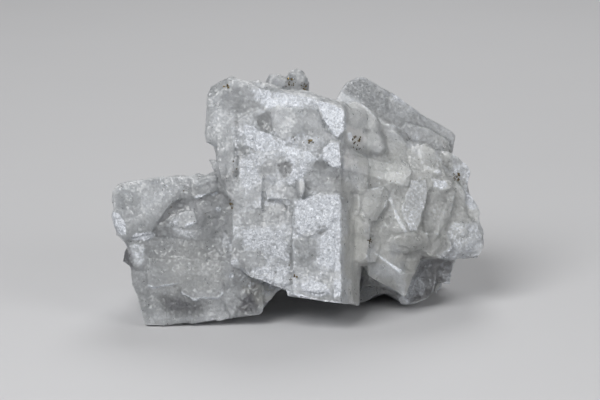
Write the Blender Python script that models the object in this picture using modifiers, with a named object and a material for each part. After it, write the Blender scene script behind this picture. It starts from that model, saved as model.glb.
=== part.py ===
"""Barite with pyrite: a cabinet specimen of intergrown tabular crystals.

Two thick tablets stand side by side, a smaller fan of blades and blocks grows to
their right, and a plain tablet rises behind the fan. Everything that is barite
grew as one piece, so every crystal is fused in one solid. The pyrite sits in
small pockets of it, as groups of cubes.

The crystals are drawn in the growth frame of the two big tablets: x runs across
their front faces, z up along them and y back into the cluster. The finished
cluster is then leaned back by LEAN_DEG, so that its broken underside is level.
Sizes in this file are millimetres, and each mesh is made in metres.
"""

import math

import bmesh
import bpy
from mathutils import Matrix, Vector

MM = 0.001

# Driving dimensions of the growth frame
LEAN_DEG = 12.0             # how far the big tablets lean back
GROUND_Y = -18.8            # where the level underside meets the front corner
GROUND_Z = -0.5
GROUND_BLOCK = 200.0        # side of the block that cuts the underside
LEFT_FACE = -18.8           # front plane of the left tablet
CENTRE_FACE = -24.4         # front plane of the centre tablet
FAN_FRONT = -13.0           # the fan's front surface at its lower left corner
FAN_LEFT = 15.0
FAN_LOW = 30.0
FAN_ACROSS = 0.28           # how far that surface recedes for each mm to the right
FAN_UP = 0.10               # and for each mm up
FAN_DEPTH = 12.0            # from a fan crystal's face to its root
GRAIN_GAP = 0.3             # clearance between a pyrite group and its pocket
WELD = 1e-6                 # metres, within one crystal
FUSED_WELD = 2e-6           # metres, where crystals were fused
BEVEL_FROM_DEG = 35.0       # edges sharper than this are bevelled
LUMP_RINGS = 5              # rings of facets on a rounded crystal


# ---------------------------------------------------------------- scene helpers

def clear_scene():
    """Remove whatever the file holds."""
    for item in list(bpy.data.objects):
        bpy.data.objects.remove(item, do_unlink=True)


def new_collection(name):
    """Add a collection to the scene."""
    group = bpy.data.collections.new(name)
    bpy.context.scene.collection.children.link(group)
    return group


def new_material(name, colour, roughness, metallic):
    """A Principled material with plain values."""
    material = bpy.data.materials.new(name)
    material.use_nodes = True
    shader = material.node_tree.nodes["Principled BSDF"]
    shader.inputs["Base Color"].default_value = (*colour, 1.0)
    shader.inputs["Roughness"].default_value = roughness
    shader.inputs["Metallic"].default_value = metallic
    material.diffuse_color = (*colour, 1.0)
    return material


def add_object(name, mesh, group):
    """Put a mesh in a collection as a new object."""
    item = bpy.data.objects.new(name, mesh)
    group.objects.link(item)
    return item


def as_cutter(item):
    """Keep an operand out of the finished model."""
    item.hide_render = True
    item.display_type = "WIRE"
    return item


# --------------------------------------------------------------- crystal shapes

def tilt(mesh, across, up):
    """Slope a crystal's faces: y grows by these amounts for each mm in x and z."""
    centre = sum((v.co for v in mesh.vertices), Vector()) / len(mesh.vertices)
    for vertex in mesh.vertices:
        offset = vertex.co - centre
        vertex.co.y += across * offset.x + up * offset.z


def cut_faces(mesh, cuts):
    """Give a crystal extra flat faces: each cut is a point and an outward normal."""
    shape = bmesh.new()
    shape.from_mesh(mesh)
    for point, normal in cuts:
        whole = shape.verts[:] + shape.edges[:] + shape.faces[:]
        cut = bmesh.ops.bisect_plane(
            shape,
            geom=whole,
            dist=WELD,
            plane_co=Vector(point) * MM,
            plane_no=Vector(normal).normalized(),
            clear_outer=True,
        )
        rim = [e for e in cut["geom_cut"] if isinstance(e, bmesh.types.BMEdge)]
        if rim:
            bmesh.ops.edgeloop_fill(shape, edges=rim)
    bmesh.ops.recalc_face_normals(shape, faces=shape.faces[:])
    shape.to_mesh(mesh)
    shape.free()


def extruded(name, outline, thickness):
    """A flat outline extruded evenly to both sides of its plane, as a welded mesh."""
    curve = bpy.data.curves.new(name, "CURVE")
    curve.dimensions = "2D"
    curve.fill_mode = "BOTH"
    curve.extrude = thickness * MM / 2
    spline = curve.splines.new("POLY")
    spline.points.add(len(outline) - 1)
    for point, (u, v) in zip(spline.points, outline):
        point.co = (u * MM, v * MM, 0.0, 1.0)
    spline.use_cyclic_u = True
    drawn = bpy.data.objects.new(name, curve)
    bpy.context.scene.collection.objects.link(drawn)
    bpy.context.view_layer.update()
    graph = bpy.context.evaluated_depsgraph_get()
    mesh = bpy.data.meshes.new_from_object(drawn.evaluated_get(graph))
    bpy.data.objects.remove(drawn, do_unlink=True)
    bpy.data.curves.remove(curve)
    shape = bmesh.new()
    shape.from_mesh(mesh)
    bmesh.ops.remove_doubles(shape, verts=shape.verts[:], dist=WELD)
    bmesh.ops.recalc_face_normals(shape, faces=shape.faces[:])
    shape.to_mesh(mesh)
    shape.free()
    return mesh


def bevelled(item, width):
    """Take the sharpness off a crystal's edges."""
    if width > 0:
        bevel = item.modifiers.new("edges", "BEVEL")
        bevel.width = width * MM
        bevel.segments = 1
        bevel.limit_method = "ANGLE"
        bevel.angle_limit = math.radians(BEVEL_FROM_DEG)
    return item


class Cluster:
    """Collects the crystals that are fused in one solid."""

    def __init__(self, group):
        self.group = group
        self.crystals = []

    def keep(self, name, mesh, slope, cuts, bevel):
        """Slope, cut and bevel one crystal, and add it."""
        tilt(mesh, *slope)
        if cuts:
            cut_faces(mesh, cuts)
        item = as_cutter(add_object(name, mesh, self.group))
        self.crystals.append(bevelled(item, bevel))

    def plate(self, name, near, far, outline, slope=(0, 0), cuts=(), bevel=0.0):
        """A crystal seen face on: an (x, z) outline from y = near to y = far."""
        mesh = extruded(name, outline, far - near)
        stand = Matrix.Rotation(math.radians(90), 4, "X")
        mesh.transform(Matrix.Translation((0, (near + far) / 2 * MM, 0)) @ stand)
        self.keep(name, mesh, slope, cuts, bevel)

    def column(self, name, low, high, outline, slope=(0, 0), cuts=(), bevel=0.0):
        """A crystal seen from above: an (x, y) outline from z = low to z = high."""
        mesh = extruded(name, outline, high - low)
        mesh.transform(Matrix.Translation((0, 0, (low + high) / 2 * MM)))
        self.keep(name, mesh, slope, cuts, bevel)

    def block(self, name, centre, size, turn=(0, 0, 0), cuts=(), bevel=0.0):
        """A blocky crystal: a turned box."""
        shape = bmesh.new()
        bmesh.ops.create_cube(shape, size=1.0)
        mesh = bpy.data.meshes.new(name)
        shape.to_mesh(mesh)
        shape.free()
        spin = [Matrix.Rotation(math.radians(a), 4, k) for a, k in zip(turn, "XYZ")]
        scale = Matrix.Diagonal((*(Vector(size) * MM), 1.0))
        place = Matrix.Translation(Vector(centre) * MM)
        mesh.transform(place @ spin[2] @ spin[1] @ spin[0] @ scale)
        self.keep(name, mesh, (0, 0), cuts, bevel)

    def lump(self, name, centre, size, turn=0.0, sides=7):
        """A rounded, faceted little crystal."""
        shape = bmesh.new()
        bmesh.ops.create_uvsphere(
            shape, u_segments=sides, v_segments=LUMP_RINGS, radius=0.5
        )
        mesh = bpy.data.meshes.new(name)
        shape.to_mesh(mesh)
        shape.free()
        spin = Matrix.Rotation(math.radians(turn), 4, "Y")
        scale = Matrix.Diagonal((*(Vector(size) * MM), 1.0))
        mesh.transform(Matrix.Translation(Vector(centre) * MM) @ spin @ scale)
        self.keep(name, mesh, (0, 0), (), 0.0)


# ------------------------------------------------------------------ the crystals

def left_tablet(barite):
    """The thick tablet at the left, with its slabs and broken growth layers."""
    barite.plate("left_body", LEFT_FACE, -11.5, [
        (-45.3, 35.2), (-42.5, 36.1), (-37.5, 36.5), (-34.8, 37.2), (-32.5, 36.8),
        (-27.0, 37.2), (-25.3, 38.0), (-24.3, 37.3), (-21.5, 38.1), (-20.3, 37.3),
        (-12.0, 36.5), (-9.0, 20.0), (-9.3, 5.0), (-9.4, 3.3), (-10.5, 2.6),
        (-13.8, 2.3), (-17.5, 1.5), (-20.6, 1.0), (-21.0, 1.6), (-24.3, 0.7),
        (-27.2, 0.2), (-27.6, 0.8), (-33.8, -0.2), (-38.8, 0.0), (-40.8, 7.5),
        (-42.0, 10.3), (-43.2, 19.8), (-45.8, 23.0), (-46.8, 25.8), (-47.0, 27.8),
        (-46.4, 29.3), (-47.0, 30.8), (-46.8, 33.3),
    ])
    barite.plate("left_inner_layer", -12.5, -3.5, [
        (-44.6, 34.0), (-38.0, 35.6), (-27.0, 36.2), (-20.5, 36.4), (-12.0, 35.5),
        (-9.5, 20.0), (-10.0, 4.2), (-20.0, 2.0), (-33.0, 0.9), (-38.2, 0.9),
        (-40.3, 8.5), (-42.4, 19.5), (-45.6, 24.2), (-46.2, 30.0), (-45.8, 33.0),
    ], slope=(0.0, 0.06))
    barite.plate("left_back_layer", -4.8, 5.0, [
        (-43.8, 34.9), (-36.0, 36.4), (-24.0, 37.2), (-16.0, 36.6), (-9.0, 34.0),
        (-9.5, 8.0), (-12.0, 3.0), (-30.0, 1.0), (-37.0, 1.2), (-41.5, 14.0),
        (-45.0, 22.0), (-46.2, 28.0), (-45.6, 32.5),
    ], slope=(0.05, 0.0), cuts=[
        ((-44.0, 3.0, 30.0), (-0.7, 0.7, 0.1)),
        ((-30.0, 3.0, 36.0), (0.0, 0.7, 0.7)),
    ])
    barite.block("left_top_chip", (-33.0, -9.0, 36.2), (9.0, 4.0, 1.8), (3, -4, 12))
    barite.block("left_side_chip", (-44.0, -9.0, 26.0), (3.0, 5.0, 8.0), (0, 8, -6))
    barite.block("left_side_blade", (-43.8, -3.0, 29.5), (5.0, 3.0, 8.0), (0, -8, 18))
    barite.plate("left_slab", -20.6, -15.0, [
        (-45.4, 34.9), (-42.5, 35.6), (-34.8, 37.0), (-27.0, 37.0), (-21.0, 37.7),
        (-20.8, 33.2), (-26.8, 31.4), (-28.3, 30.3), (-30.0, 31.3), (-33.3, 29.0),
        (-35.0, 26.8), (-36.8, 24.3), (-36.6, 22.8), (-42.4, 22.2), (-43.6, 20.8),
        (-45.6, 23.0), (-46.6, 25.8), (-46.8, 27.8), (-46.2, 29.3), (-46.8, 30.6),
        (-46.5, 33.3),
    ], slope=(0.02, 0.0), cuts=[
        ((-45.0, -20.6, 23.2), (-0.75, -0.45, -0.45)),
        ((-46.3, -20.6, 30.0), (-0.8, -0.6, 0.0)),
    ])
    barite.plate("left_slab_corner", -21.5, -17.5, [
        (-27.0, 36.6), (-21.4, 37.0), (-21.1, 33.4), (-23.8, 32.1), (-26.8, 31.7),
    ], slope=(0.05, 0.16))
    barite.plate("left_step_plate", -20.3, -16.5, [
        (-33.0, 26.8), (-30.0, 28.0), (-28.5, 28.9), (-27.0, 29.1), (-26.0, 25.8),
        (-28.5, 24.3), (-29.8, 24.8), (-32.0, 25.4),
    ], slope=(-0.10, 0.12))
    barite.plate("left_step_low", -19.6, -16.5, [
        (-35.0, 24.6), (-33.2, 26.4), (-29.8, 26.4), (-28.0, 24.6), (-25.2, 25.4),
        (-24.6, 22.6), (-28.0, 21.6), (-32.0, 22.4), (-35.6, 22.2),
    ], slope=(0.05, 0.05))
    barite.plate("left_small_block", -19.7, -16.5, [
        (-25.5, 31.2), (-22.2, 31.6), (-21.8, 28.6), (-24.9, 28.1),
    ], slope=(0.1, 0.1))
    barite.plate("left_middle_layer", -19.35, -15.0, [
        (-40.6, 21.2), (-34.0, 21.8), (-24.0, 21.2), (-17.4, 22.0), (-16.6, 14.5),
        (-19.8, 11.0), (-19.1, 8.8), (-19.4, 7.4), (-21.3, 6.8), (-23.8, 7.3),
        (-26.3, 6.3), (-29.5, 8.3), (-30.5, 10.5), (-35.0, 10.0), (-36.8, 9.3),
        (-38.0, 10.5), (-37.7, 13.3), (-41.2, 14.2),
    ], slope=(0.01, 0.04))
    barite.plate("left_middle_rise", -19.6, -17.5, [
        (-38.2, 17.6), (-31.5, 18.2), (-25.8, 17.2), (-20.0, 18.0), (-20.6, 14.6),
        (-23.0, 12.0), (-28.5, 12.8), (-30.6, 11.8), (-36.6, 12.2),
    ], slope=(-0.02, 0.10))
    barite.plate("left_milky_edge", -19.9, -16.0, [
        (-42.6, 20.6), (-38.9, 21.1), (-38.6, 17.0), (-39.5, 14.8), (-41.2, 14.3),
        (-42.5, 15.6), (-42.9, 18.4),
    ], slope=(-0.10, 0.02))
    barite.plate("left_clear_splinter", -17.0, -8.0, [
        (-43.0, 19.9), (-44.0, 18.3), (-44.4, 15.8), (-42.4, 14.2), (-40.0, 15.0),
        (-40.0, 19.5),
    ], slope=(0.3, 0.0))
    barite.plate("left_lower_right", -19.2, -12.0, [
        (-19.6, 13.2), (-16.0, 14.4), (-12.4, 12.3), (-11.0, 8.4), (-9.6, 5.2),
        (-9.6, 3.2), (-13.9, 2.4), (-17.4, 1.8), (-18.6, 5.8), (-17.2, 9.4),
    ], slope=(0.06, 0.03))
    barite.plate("left_beige_wedge", -17.4, -4.0, [
        (-15.0, 13.2), (-11.0, 12.2), (-6.5, 11.0), (-4.2, 9.3), (-5.8, 8.5),
        (-7.0, 6.8), (-8.8, 5.5), (-10.6, 5.4), (-13.0, 8.0),
    ], slope=(0.12, 0.05))


def centre_tablet(barite):
    """The upright tablet in front, split by a groove in its lower half."""
    barite.plate("centre_body", CENTRE_FACE, -15.5, [
        (-21.8, 59.0), (-19.5, 60.3), (-18.3, 61.1), (-17.0, 61.9), (-15.5, 61.1),
        (-11.3, 60.5), (-10.4, 60.9), (-9.4, 60.1), (-2.5, 58.0), (1.3, 57.3), (6.3, 56.3),
        (10.3, 55.4), (11.2, 54.3), (11.0, 48.8), (10.2, 38.8), (10.6, 31.3),
        (10.2, 7.2), (-1.8, 9.4), (-5.0, 10.8), (-12.3, 13.0), (-16.6, 15.5),
        (-16.9, 30.5), (-20.0, 36.0), (-20.7, 41.8), (-20.7, 44.8), (-23.2, 45.5),
        (-23.7, 48.0), (-23.0, 49.8), (-23.2, 51.3), (-23.0, 57.0),
    ])
    barite.plate("centre_inner_layer", -16.5, -8.0, [
        (-21.0, 58.4), (-17.2, 60.6), (-11.0, 59.8), (-2.5, 57.3), (6.0, 55.6),
        (10.6, 54.2), (10.4, 44.0), (9.8, 32.0), (9.6, 9.0), (-2.0, 11.0),
        (-12.0, 14.5), (-15.8, 17.0), (-16.0, 30.0), (-19.2, 36.6), (-20.0, 44.6),
        (-22.3, 46.8), (-22.2, 56.0),
    ], slope=(0.04, 0.0))
    barite.plate("centre_left_layer", -9.5, -1.0, [
        (-20.2, 58.0), (-14.0, 60.2), (-8.0, 58.6), (-6.0, 40.0), (-8.0, 16.0),
        (-15.0, 18.0), (-16.8, 34.0), (-21.6, 44.0), (-22.6, 52.0),
    ], slope=(-0.06, 0.05))
    barite.plate("centre_back_layer", -20.0, -1.0, [
        (-14.0, 59.6), (-3.0, 58.6), (2.2, 57.9), (6.6, 56.6), (10.9, 55.7),
        (12.4, 54.2), (12.0, 40.0), (6.0, 20.0), (-12.0, 30.0),
    ], slope=(0.05, 0.0))
    barite.block("centre_top_chip", (-14.5, -10.0, 59.6), (7.0, 4.5, 2.2), (4, 8, -14))
    barite.block("centre_flank_chip", (-21.6, -9.0, 51.0), (2.6, 5.0, 8.0), (0, 6, 8))
    barite.plate("centre_top_left", -25.0, -20.0, [
        (-21.4, 58.4), (-16.8, 61.0), (-12.0, 60.0), (-9.0, 58.2), (-8.4, 54.6),
        (-12.6, 52.4), (-18.8, 53.0), (-19.0, 57.0),
    ], slope=(-0.04, -0.12))
    barite.plate("centre_left_flank", -24.9, -20.0, [
        (-22.7, 56.6), (-19.8, 57.6), (-19.4, 50.8), (-20.0, 45.2), (-22.9, 45.7),
        (-23.4, 48.0), (-22.7, 49.8), (-22.9, 51.3),
    ], slope=(-0.18, 0.0))
    barite.plate("centre_left_strip", -25.3, -20.0, [
        (-19.4, 52.6), (-16.5, 52.0), (-16.4, 36.2), (-19.6, 36.0), (-20.4, 41.8),
        (-20.4, 44.8), (-19.8, 46.4),
    ], slope=(0.02, 0.0))
    barite.plate("centre_left_spur", -20.0, -14.0, [
        (-22.8, 41.4), (-21.2, 41.0), (-19.4, 38.4), (-19.4, 36.0), (-21.4, 38.8),
    ])
    barite.plate("centre_face_upper", -25.3, -20.0, [
        (-15.9, 50.9), (-13.0, 52.8), (-8.2, 54.2), (-8.0, 58.2), (-2.5, 57.5),
        (5.0, 56.1), (4.2, 53.4), (5.6, 49.0), (8.2, 46.4), (8.6, 42.6),
        (10.0, 38.0), (7.8, 34.6), (-8.0, 36.4), (-15.8, 38.0),
    ], slope=(0.01, -0.02))
    barite.plate("centre_bright_corner", -26.2, -21.0, [
        (3.8, 55.6), (10.2, 54.9), (11.0, 53.8), (10.9, 48.2), (9.4, 46.6),
        (7.4, 48.6), (5.4, 51.4),
    ], slope=(-0.06, 0.06))
    barite.plate("centre_bright_patch", -26.2, -21.0, [
        (5.8, 43.8), (7.4, 45.8), (10.1, 46.0), (10.1, 39.6), (8.2, 39.3),
        (5.7, 41.4),
    ], slope=(-0.10, -0.05))
    barite.plate("centre_white_plate", -26.0, -21.0, [
        (-11.0, 48.0), (-8.8, 48.6), (-7.0, 47.2), (-5.2, 44.6), (-7.0, 43.6),
        (-11.2, 43.6),
    ], slope=(0.05, -0.20))
    barite.plate("centre_upper_right_plate", -25.7, -21.0, [
        (-6.9, 51.6), (-5.4, 54.8), (3.4, 54.4), (4.8, 50.2), (4.4, 46.2),
        (0.0, 44.8), (-4.4, 46.4), (-6.8, 48.6),
    ], slope=(0.09, 0.02))
    barite.plate("centre_etched_band", -25.8, -21.0, [
        (-15.2, 42.6), (-11.0, 43.0), (-3.0, 44.0), (4.6, 42.2), (4.6, 36.6),
        (-1.0, 34.8), (-8.6, 36.6), (-15.2, 37.2),
    ], slope=(0.03, -0.08))
    barite.plate("centre_ridge", -28.0, -22.0, [
        (-0.5, 36.4), (1.2, 36.8), (1.3, 33.6), (0.4, 31.9), (-0.4, 32.6),
    ], slope=(0.2, -0.1))
    barite.plate("centre_middle_left", -25.4, -21.0, [
        (-18.8, 36.0), (-14.0, 37.2), (-9.4, 36.4), (-9.2, 29.0), (-13.0, 29.2),
        (-16.8, 30.6), (-18.4, 33.4),
    ], slope=(-0.08, -0.06))
    barite.plate("centre_middle_step", -26.3, -21.0, [
        (-8.6, 33.6), (-5.2, 35.8), (-0.8, 34.0), (1.0, 31.4), (-1.8, 28.8),
        (-4.2, 30.4), (-4.6, 31.6), (-8.4, 31.2),
    ], slope=(0.08, 0.08))
    barite.plate("centre_low_left_top", -25.0, -20.0, [
        (-16.8, 30.2), (-9.4, 28.9), (-2.6, 29.4), (-2.6, 24.6), (-16.8, 24.6),
    ], slope=(-0.01, 0.05))
    barite.plate("centre_low_left", -25.7, -20.0, [
        (-16.9, 24.9), (-9.0, 24.7), (-2.6, 25.4), (-2.6, 8.6), (-5.0, 9.6),
        (-12.4, 12.0), (-13.6, 14.3), (-16.7, 14.7),
    ], slope=(-0.01, 0.0))
    barite.plate("centre_low_left_step", -26.0, -21.0, [
        (-8.8, 21.6), (-3.0, 22.4), (-2.8, 10.2), (-5.0, 10.4), (-11.2, 12.6),
        (-9.6, 15.4),
    ], slope=(-0.05, 0.03))
    barite.plate("centre_low_right", -27.4, -8.0, [
        (-1.8, 28.8), (0.3, 31.0), (2.2, 32.2), (5.0, 33.4), (10.2, 33.0),
        (10.5, 31.3), (10.3, 5.7), (5.0, 6.3), (0.0, 7.0), (-1.8, 8.1),
    ])
    barite.plate("centre_low_right_upper", -27.8, -24.0, [
        (-1.4, 28.6), (2.4, 31.6), (5.6, 32.6), (8.6, 31.6), (9.6, 24.0),
        (6.4, 24.6), (4.0, 22.8), (1.4, 22.2), (-1.4, 23.6),
    ], slope=(0.02, 0.07))
    barite.plate("centre_low_right_rim", -28.2, -24.0, [
        (8.6, 30.4), (10.1, 30.0), (10.0, 6.2), (8.4, 6.8), (8.8, 20.0),
    ], slope=(0.05, 0.0))
    barite.plate("centre_low_right_lower", -27.6, -24.0, [
        (0.6, 12.2), (3.4, 17.4), (8.0, 17.0), (8.2, 9.2), (4.0, 8.4), (0.4, 9.2),
    ], slope=(-0.02, 0.12))
    barite.column("centre_side", 4.4, 32.0, [
        (9.0, -27.0), (10.5, -26.6), (15.0, -13.5), (15.2, -4.0), (4.0, -4.0),
        (4.0, -22.0),
    ], cuts=[
        ((10.4, -26.0, 31.6), (0.45, -0.5, 0.75)),
        ((9.0, -27.0, 5.8), (-0.20, 0.0, -1.0)),
    ])
    barite.column("centre_side_upper", 30.0, 40.0, [
        (7.6, -24.6), (9.8, -24.4), (14.8, -15.0), (15.0, -4.0), (4.0, -4.0),
        (4.0, -22.0),
    ], cuts=[((10.2, -20.0, 39.2), (0.3, -0.6, 0.72))])


def top_knobs(barite):
    """Rounded glassy crystals on the centre tablet's top edge."""
    barite.lump("knob_left_small", (-7.8, -11.6, 60.4), (2.8, 3.6, 3.6), 10)
    barite.lump("knob_left", (-5.6, -12.0, 61.0), (4.6, 5.0, 4.6), 25, 8)
    barite.lump("knob_left_low", (-3.3, -11.6, 59.6), (4.0, 4.6, 3.8), 70)
    barite.lump("knob_right", (-0.8, -12.4, 61.6), (5.6, 6.0, 5.6), 15, 8)
    barite.lump("knob_right_low", (0.5, -12.6, 60.0), (3.2, 4.6, 4.8), 45)
    barite.block("knob_root", (-3.0, -10.0, 56.5), (9.0, 6.0, 7.0), (8, 3, 5))


def fan_crystal(barite, name, proud, outline, turn=(0.0, 0.0), cuts=()):
    """A crystal of the fan, which stands proud of the fan's receding front."""
    x = sum(point[0] for point in outline) / len(outline)
    z = sum(point[1] for point in outline) / len(outline)
    front = FAN_FRONT + FAN_ACROSS * (x - FAN_LEFT) + FAN_UP * (z - FAN_LOW)
    slope = (FAN_ACROSS + turn[0], FAN_UP + turn[1])
    near = front - proud
    barite.plate(name, near, near + FAN_DEPTH, outline, slope=slope, cuts=cuts)


def fan_side(barite):
    """Plates on the flank of the centre tablet, and the mound above them."""
    barite.plate("side_plate_low", -18.0, -6.0, [
        (11.7, 28.7), (13.8, 28.3), (14.9, 26.2), (17.4, 25.0), (17.1, 20.0),
        (16.5, 16.6), (14.6, 15.6), (12.3, 16.0),
    ], slope=(0.22, -0.04))
    barite.plate("side_plate_high", -16.0, -4.0, [
        (14.6, 34.1), (21.0, 34.3), (22.3, 33.3), (21.4, 29.6), (19.1, 26.2),
        (17.2, 25.6), (15.0, 28.2),
    ], slope=(0.15, 0.05))
    barite.plate("side_corner", -18.6, -8.0, [
        (10.6, 33.6), (14.2, 34.4), (15.0, 31.0), (14.6, 28.0), (11.8, 27.4),
    ], slope=(0.35, 0.25))
    barite.plate("side_facet_low", -13.6, -2.0, [
        (18.4, 27.4), (20.6, 26.6), (21.4, 24.9), (22.0, 21.3), (19.6, 19.3),
        (16.9, 19.6), (17.2, 25.2),
    ], slope=(0.30, -0.20))
    barite.plate("side_root", -15.0, -4.0, [
        (13.0, 24.0), (18.6, 24.6), (20.4, 20.0), (19.0, 15.6), (14.0, 15.4),
    ], slope=(0.35, 0.10))
    fan_crystal(barite, "mound", 1.2, [
        (11.0, 54.6), (13.9, 54.6), (16.2, 52.8), (18.4, 51.4), (20.0, 49.4),
        (21.0, 46.2), (20.4, 43.6), (17.6, 43.0), (14.3, 43.6), (10.6, 45.0),
    ], (0.05, 0.05))
    fan_crystal(barite, "mound_ridge", 2.6, [
        (12.0, 55.4), (14.3, 55.9), (16.6, 54.5), (18.9, 52.6), (19.6, 51.4),
        (18.3, 50.8), (16.0, 52.7), (13.4, 54.0), (12.0, 54.0),
    ], (0.05, 0.45))
    fan_crystal(barite, "mound_shoulder", 2.4, [
        (11.4, 53.4), (13.4, 53.2), (14.2, 50.6), (13.2, 48.4), (11.2, 49.2),
    ], (-0.15, 0.25))
    barite.lump("mound_finger", (19.0, -10.2, 50.0), (3.4, 6.0, 5.2), -12, 8)
    barite.lump("mound_toe", (19.2, -11.0, 45.2), (5.6, 6.0, 4.8), 28, 8)
    barite.lump("mound_knee", (17.6, -10.8, 47.8), (4.2, 5.4, 5.2), 10, 8)
    barite.lump("mound_heel", (14.6, -11.6, 44.4), (5.4, 4.4, 3.0), -12)


def fan_top(barite):
    """The waxy shelf and the smooth and polygonal crystals above it."""
    fan_crystal(barite, "smooth_lobe", -0.6, [
        (19.6, 50.8), (22.9, 50.6), (25.8, 49.6), (28.0, 47.3), (29.0, 44.8),
        (25.8, 42.5), (23.3, 40.8), (21.2, 41.8), (20.4, 45.2),
    ], (0.05, 0.30))
    fan_crystal(barite, "smooth_lobe_face", 0.3, [
        (21.2, 48.4), (24.0, 48.8), (26.6, 46.6), (27.0, 44.2), (23.6, 42.6),
        (21.6, 44.4),
    ], (-0.10, 0.10))
    fan_crystal(barite, "lobe_low", 0.9, [
        (21.5, 43.5), (23.7, 42.8), (25.3, 43.5), (27.0, 42.3), (25.8, 40.5),
        (22.8, 40.1), (20.7, 41.0),
    ], (-0.10, 0.40))
    fan_crystal(barite, "shelf", 1.6, [
        (10.2, 44.4), (14.3, 43.4), (17.5, 41.2), (22.7, 40.6), (27.3, 40.6),
        (27.8, 38.0), (27.2, 35.0), (24.0, 35.2), (19.8, 36.3), (15.6, 38.4),
        (10.2, 40.5),
    ], (-0.14, 0.40))
    fan_crystal(barite, "shelf_lip", 2.6, [
        (10.4, 42.8), (13.9, 41.7), (16.8, 39.4), (20.6, 38.2), (26.4, 37.7),
        (26.9, 36.2), (22.7, 36.0), (18.6, 37.0), (15.1, 38.7), (10.4, 40.4),
    ], (-0.16, 0.10))
    fan_crystal(barite, "shelf_layer", 2.0, [
        (18.6, 37.0), (22.7, 37.4), (26.8, 36.7), (27.1, 33.7), (23.5, 34.1),
        (19.8, 35.1),
    ], (-0.10, -0.10))
    fan_crystal(barite, "shelf_under", 0.4, [
        (10.6, 40.6), (15.2, 38.6), (19.9, 35.6), (27.2, 34.2), (26.8, 31.2),
        (22.7, 31.7), (14.7, 33.8), (10.6, 35.0),
    ], (-0.10, -0.35))
    fan_crystal(barite, "upper_poly_left", 0.9, [
        (24.9, 41.8), (27.0, 44.3), (30.5, 45.1), (31.2, 41.8), (30.8, 38.4),
        (27.5, 38.4), (27.0, 40.1),
    ], (-0.10, 0.30))
    fan_crystal(barite, "upper_poly_right", 0.9, [
        (30.6, 45.1), (31.7, 45.9), (34.1, 44.3), (36.0, 41.6), (36.6, 38.6),
        (32.6, 38.2), (31.1, 39.3), (31.0, 42.3),
    ], (0.30, 0.20))
    fan_crystal(barite, "upper_bright_facet", 1.8, [
        (31.2, 43.6), (33.4, 43.2), (35.4, 39.8), (35.2, 38.0), (32.0, 38.6),
    ], (-0.05, 0.45))
    fan_crystal(barite, "upper_poly_low", 1.7, [
        (27.2, 39.9), (30.8, 38.8), (36.3, 38.8), (38.2, 35.9), (35.9, 33.9),
        (32.0, 34.8), (28.7, 36.0), (27.2, 37.7),
    ], (0.00, 0.30))
    fan_crystal(barite, "upper_bright_step", 2.4, [
        (33.7, 36.3), (36.7, 36.9), (38.6, 35.8), (38.0, 34.1), (35.9, 33.7),
        (34.2, 34.2),
    ], (-0.20, 0.20))
    barite.plate("corner_crystal", 2.2, 16.0, [
        (35.7, 44.2), (38.6, 43.6), (40.7, 42.3), (43.2, 40.0), (43.8, 38.4),
        (43.0, 35.6), (42.6, 32.0), (38.4, 33.0), (35.4, 38.0), (32.4, 40.6),
        (32.8, 43.4),
    ], slope=(-0.10, 0.10))


def fan_blades(barite):
    """The blades that point down, and the beige blocks at their feet."""
    fan_crystal(barite, "blade_ridge", 1.8, [
        (22.2, 31.9), (23.4, 31.2), (25.3, 27.5), (26.6, 23.3), (21.4, 23.0),
        (21.2, 26.6),
    ], (-0.38, 0.10))
    fan_crystal(barite, "blade_dark", 1.7, [
        (22.5, 31.9), (25.8, 31.9), (26.9, 27.5), (27.8, 23.1), (26.4, 23.0),
        (24.6, 27.9),
    ], (0.45, -0.10))
    fan_crystal(barite, "blade_white", 3.0, [
        (26.5, 35.6), (28.6, 37.1), (31.5, 36.7), (32.0, 34.1), (31.3, 29.6),
        (30.5, 25.8), (29.4, 23.9), (27.8, 23.6), (26.9, 25.8), (25.6, 31.7),
    ], (-0.14, 0.12), cuts=[((31.6, -13.0, 31.0), (0.80, -0.55, -0.10))])
    fan_crystal(barite, "blade_white_cap", 2.6, [
        (27.0, 36.6), (29.4, 38.2), (32.4, 37.4), (33.8, 35.0), (32.0, 33.4),
        (29.0, 35.0),
    ], (0.05, 0.50))
    fan_crystal(barite, "blade_beige", 0.9, [
        (31.4, 33.2), (35.9, 34.2), (39.3, 33.3), (38.6, 29.1), (36.5, 23.4),
        (34.2, 20.6), (32.3, 22.1), (29.8, 25.0), (30.4, 30.0),
    ], (-0.08, -0.06))
    fan_crystal(barite, "blade_beige_edge", 1.5, [
        (36.2, 33.6), (38.8, 33.2), (38.2, 29.6), (36.4, 24.8), (34.6, 22.6),
        (35.4, 28.0),
    ], (0.35, 0.05))
    fan_crystal(barite, "under_blades", 0.2, [
        (20.8, 27.0), (28.0, 26.6), (34.0, 25.8), (36.6, 27.6), (36.4, 19.0),
        (22.0, 18.6),
    ], (-0.10, 0.0))
    fan_crystal(barite, "beige_block_left", 1.6, [
        (22.3, 20.9), (22.7, 22.4), (26.9, 23.2), (32.0, 23.0), (32.4, 20.0),
        (29.8, 18.6), (24.0, 18.6),
    ], (-0.18, -0.15))
    fan_crystal(barite, "beige_block_step", 2.2, [
        (23.6, 20.6), (25.2, 22.2), (29.6, 22.4), (30.4, 20.2), (28.0, 19.2),
    ], (-0.20, 0.15))
    fan_crystal(barite, "beige_block_right", 1.3, [
        (30.4, 19.2), (32.1, 22.6), (36.0, 21.8), (35.3, 19.4), (33.0, 16.9),
    ], (0.05, 0.15))
    fan_crystal(barite, "beige_block_end", 0.8, [
        (33.4, 23.0), (37.4, 22.4), (38.8, 19.2), (35.6, 16.4), (33.2, 17.4),
    ], (0.10, 0.0))


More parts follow.
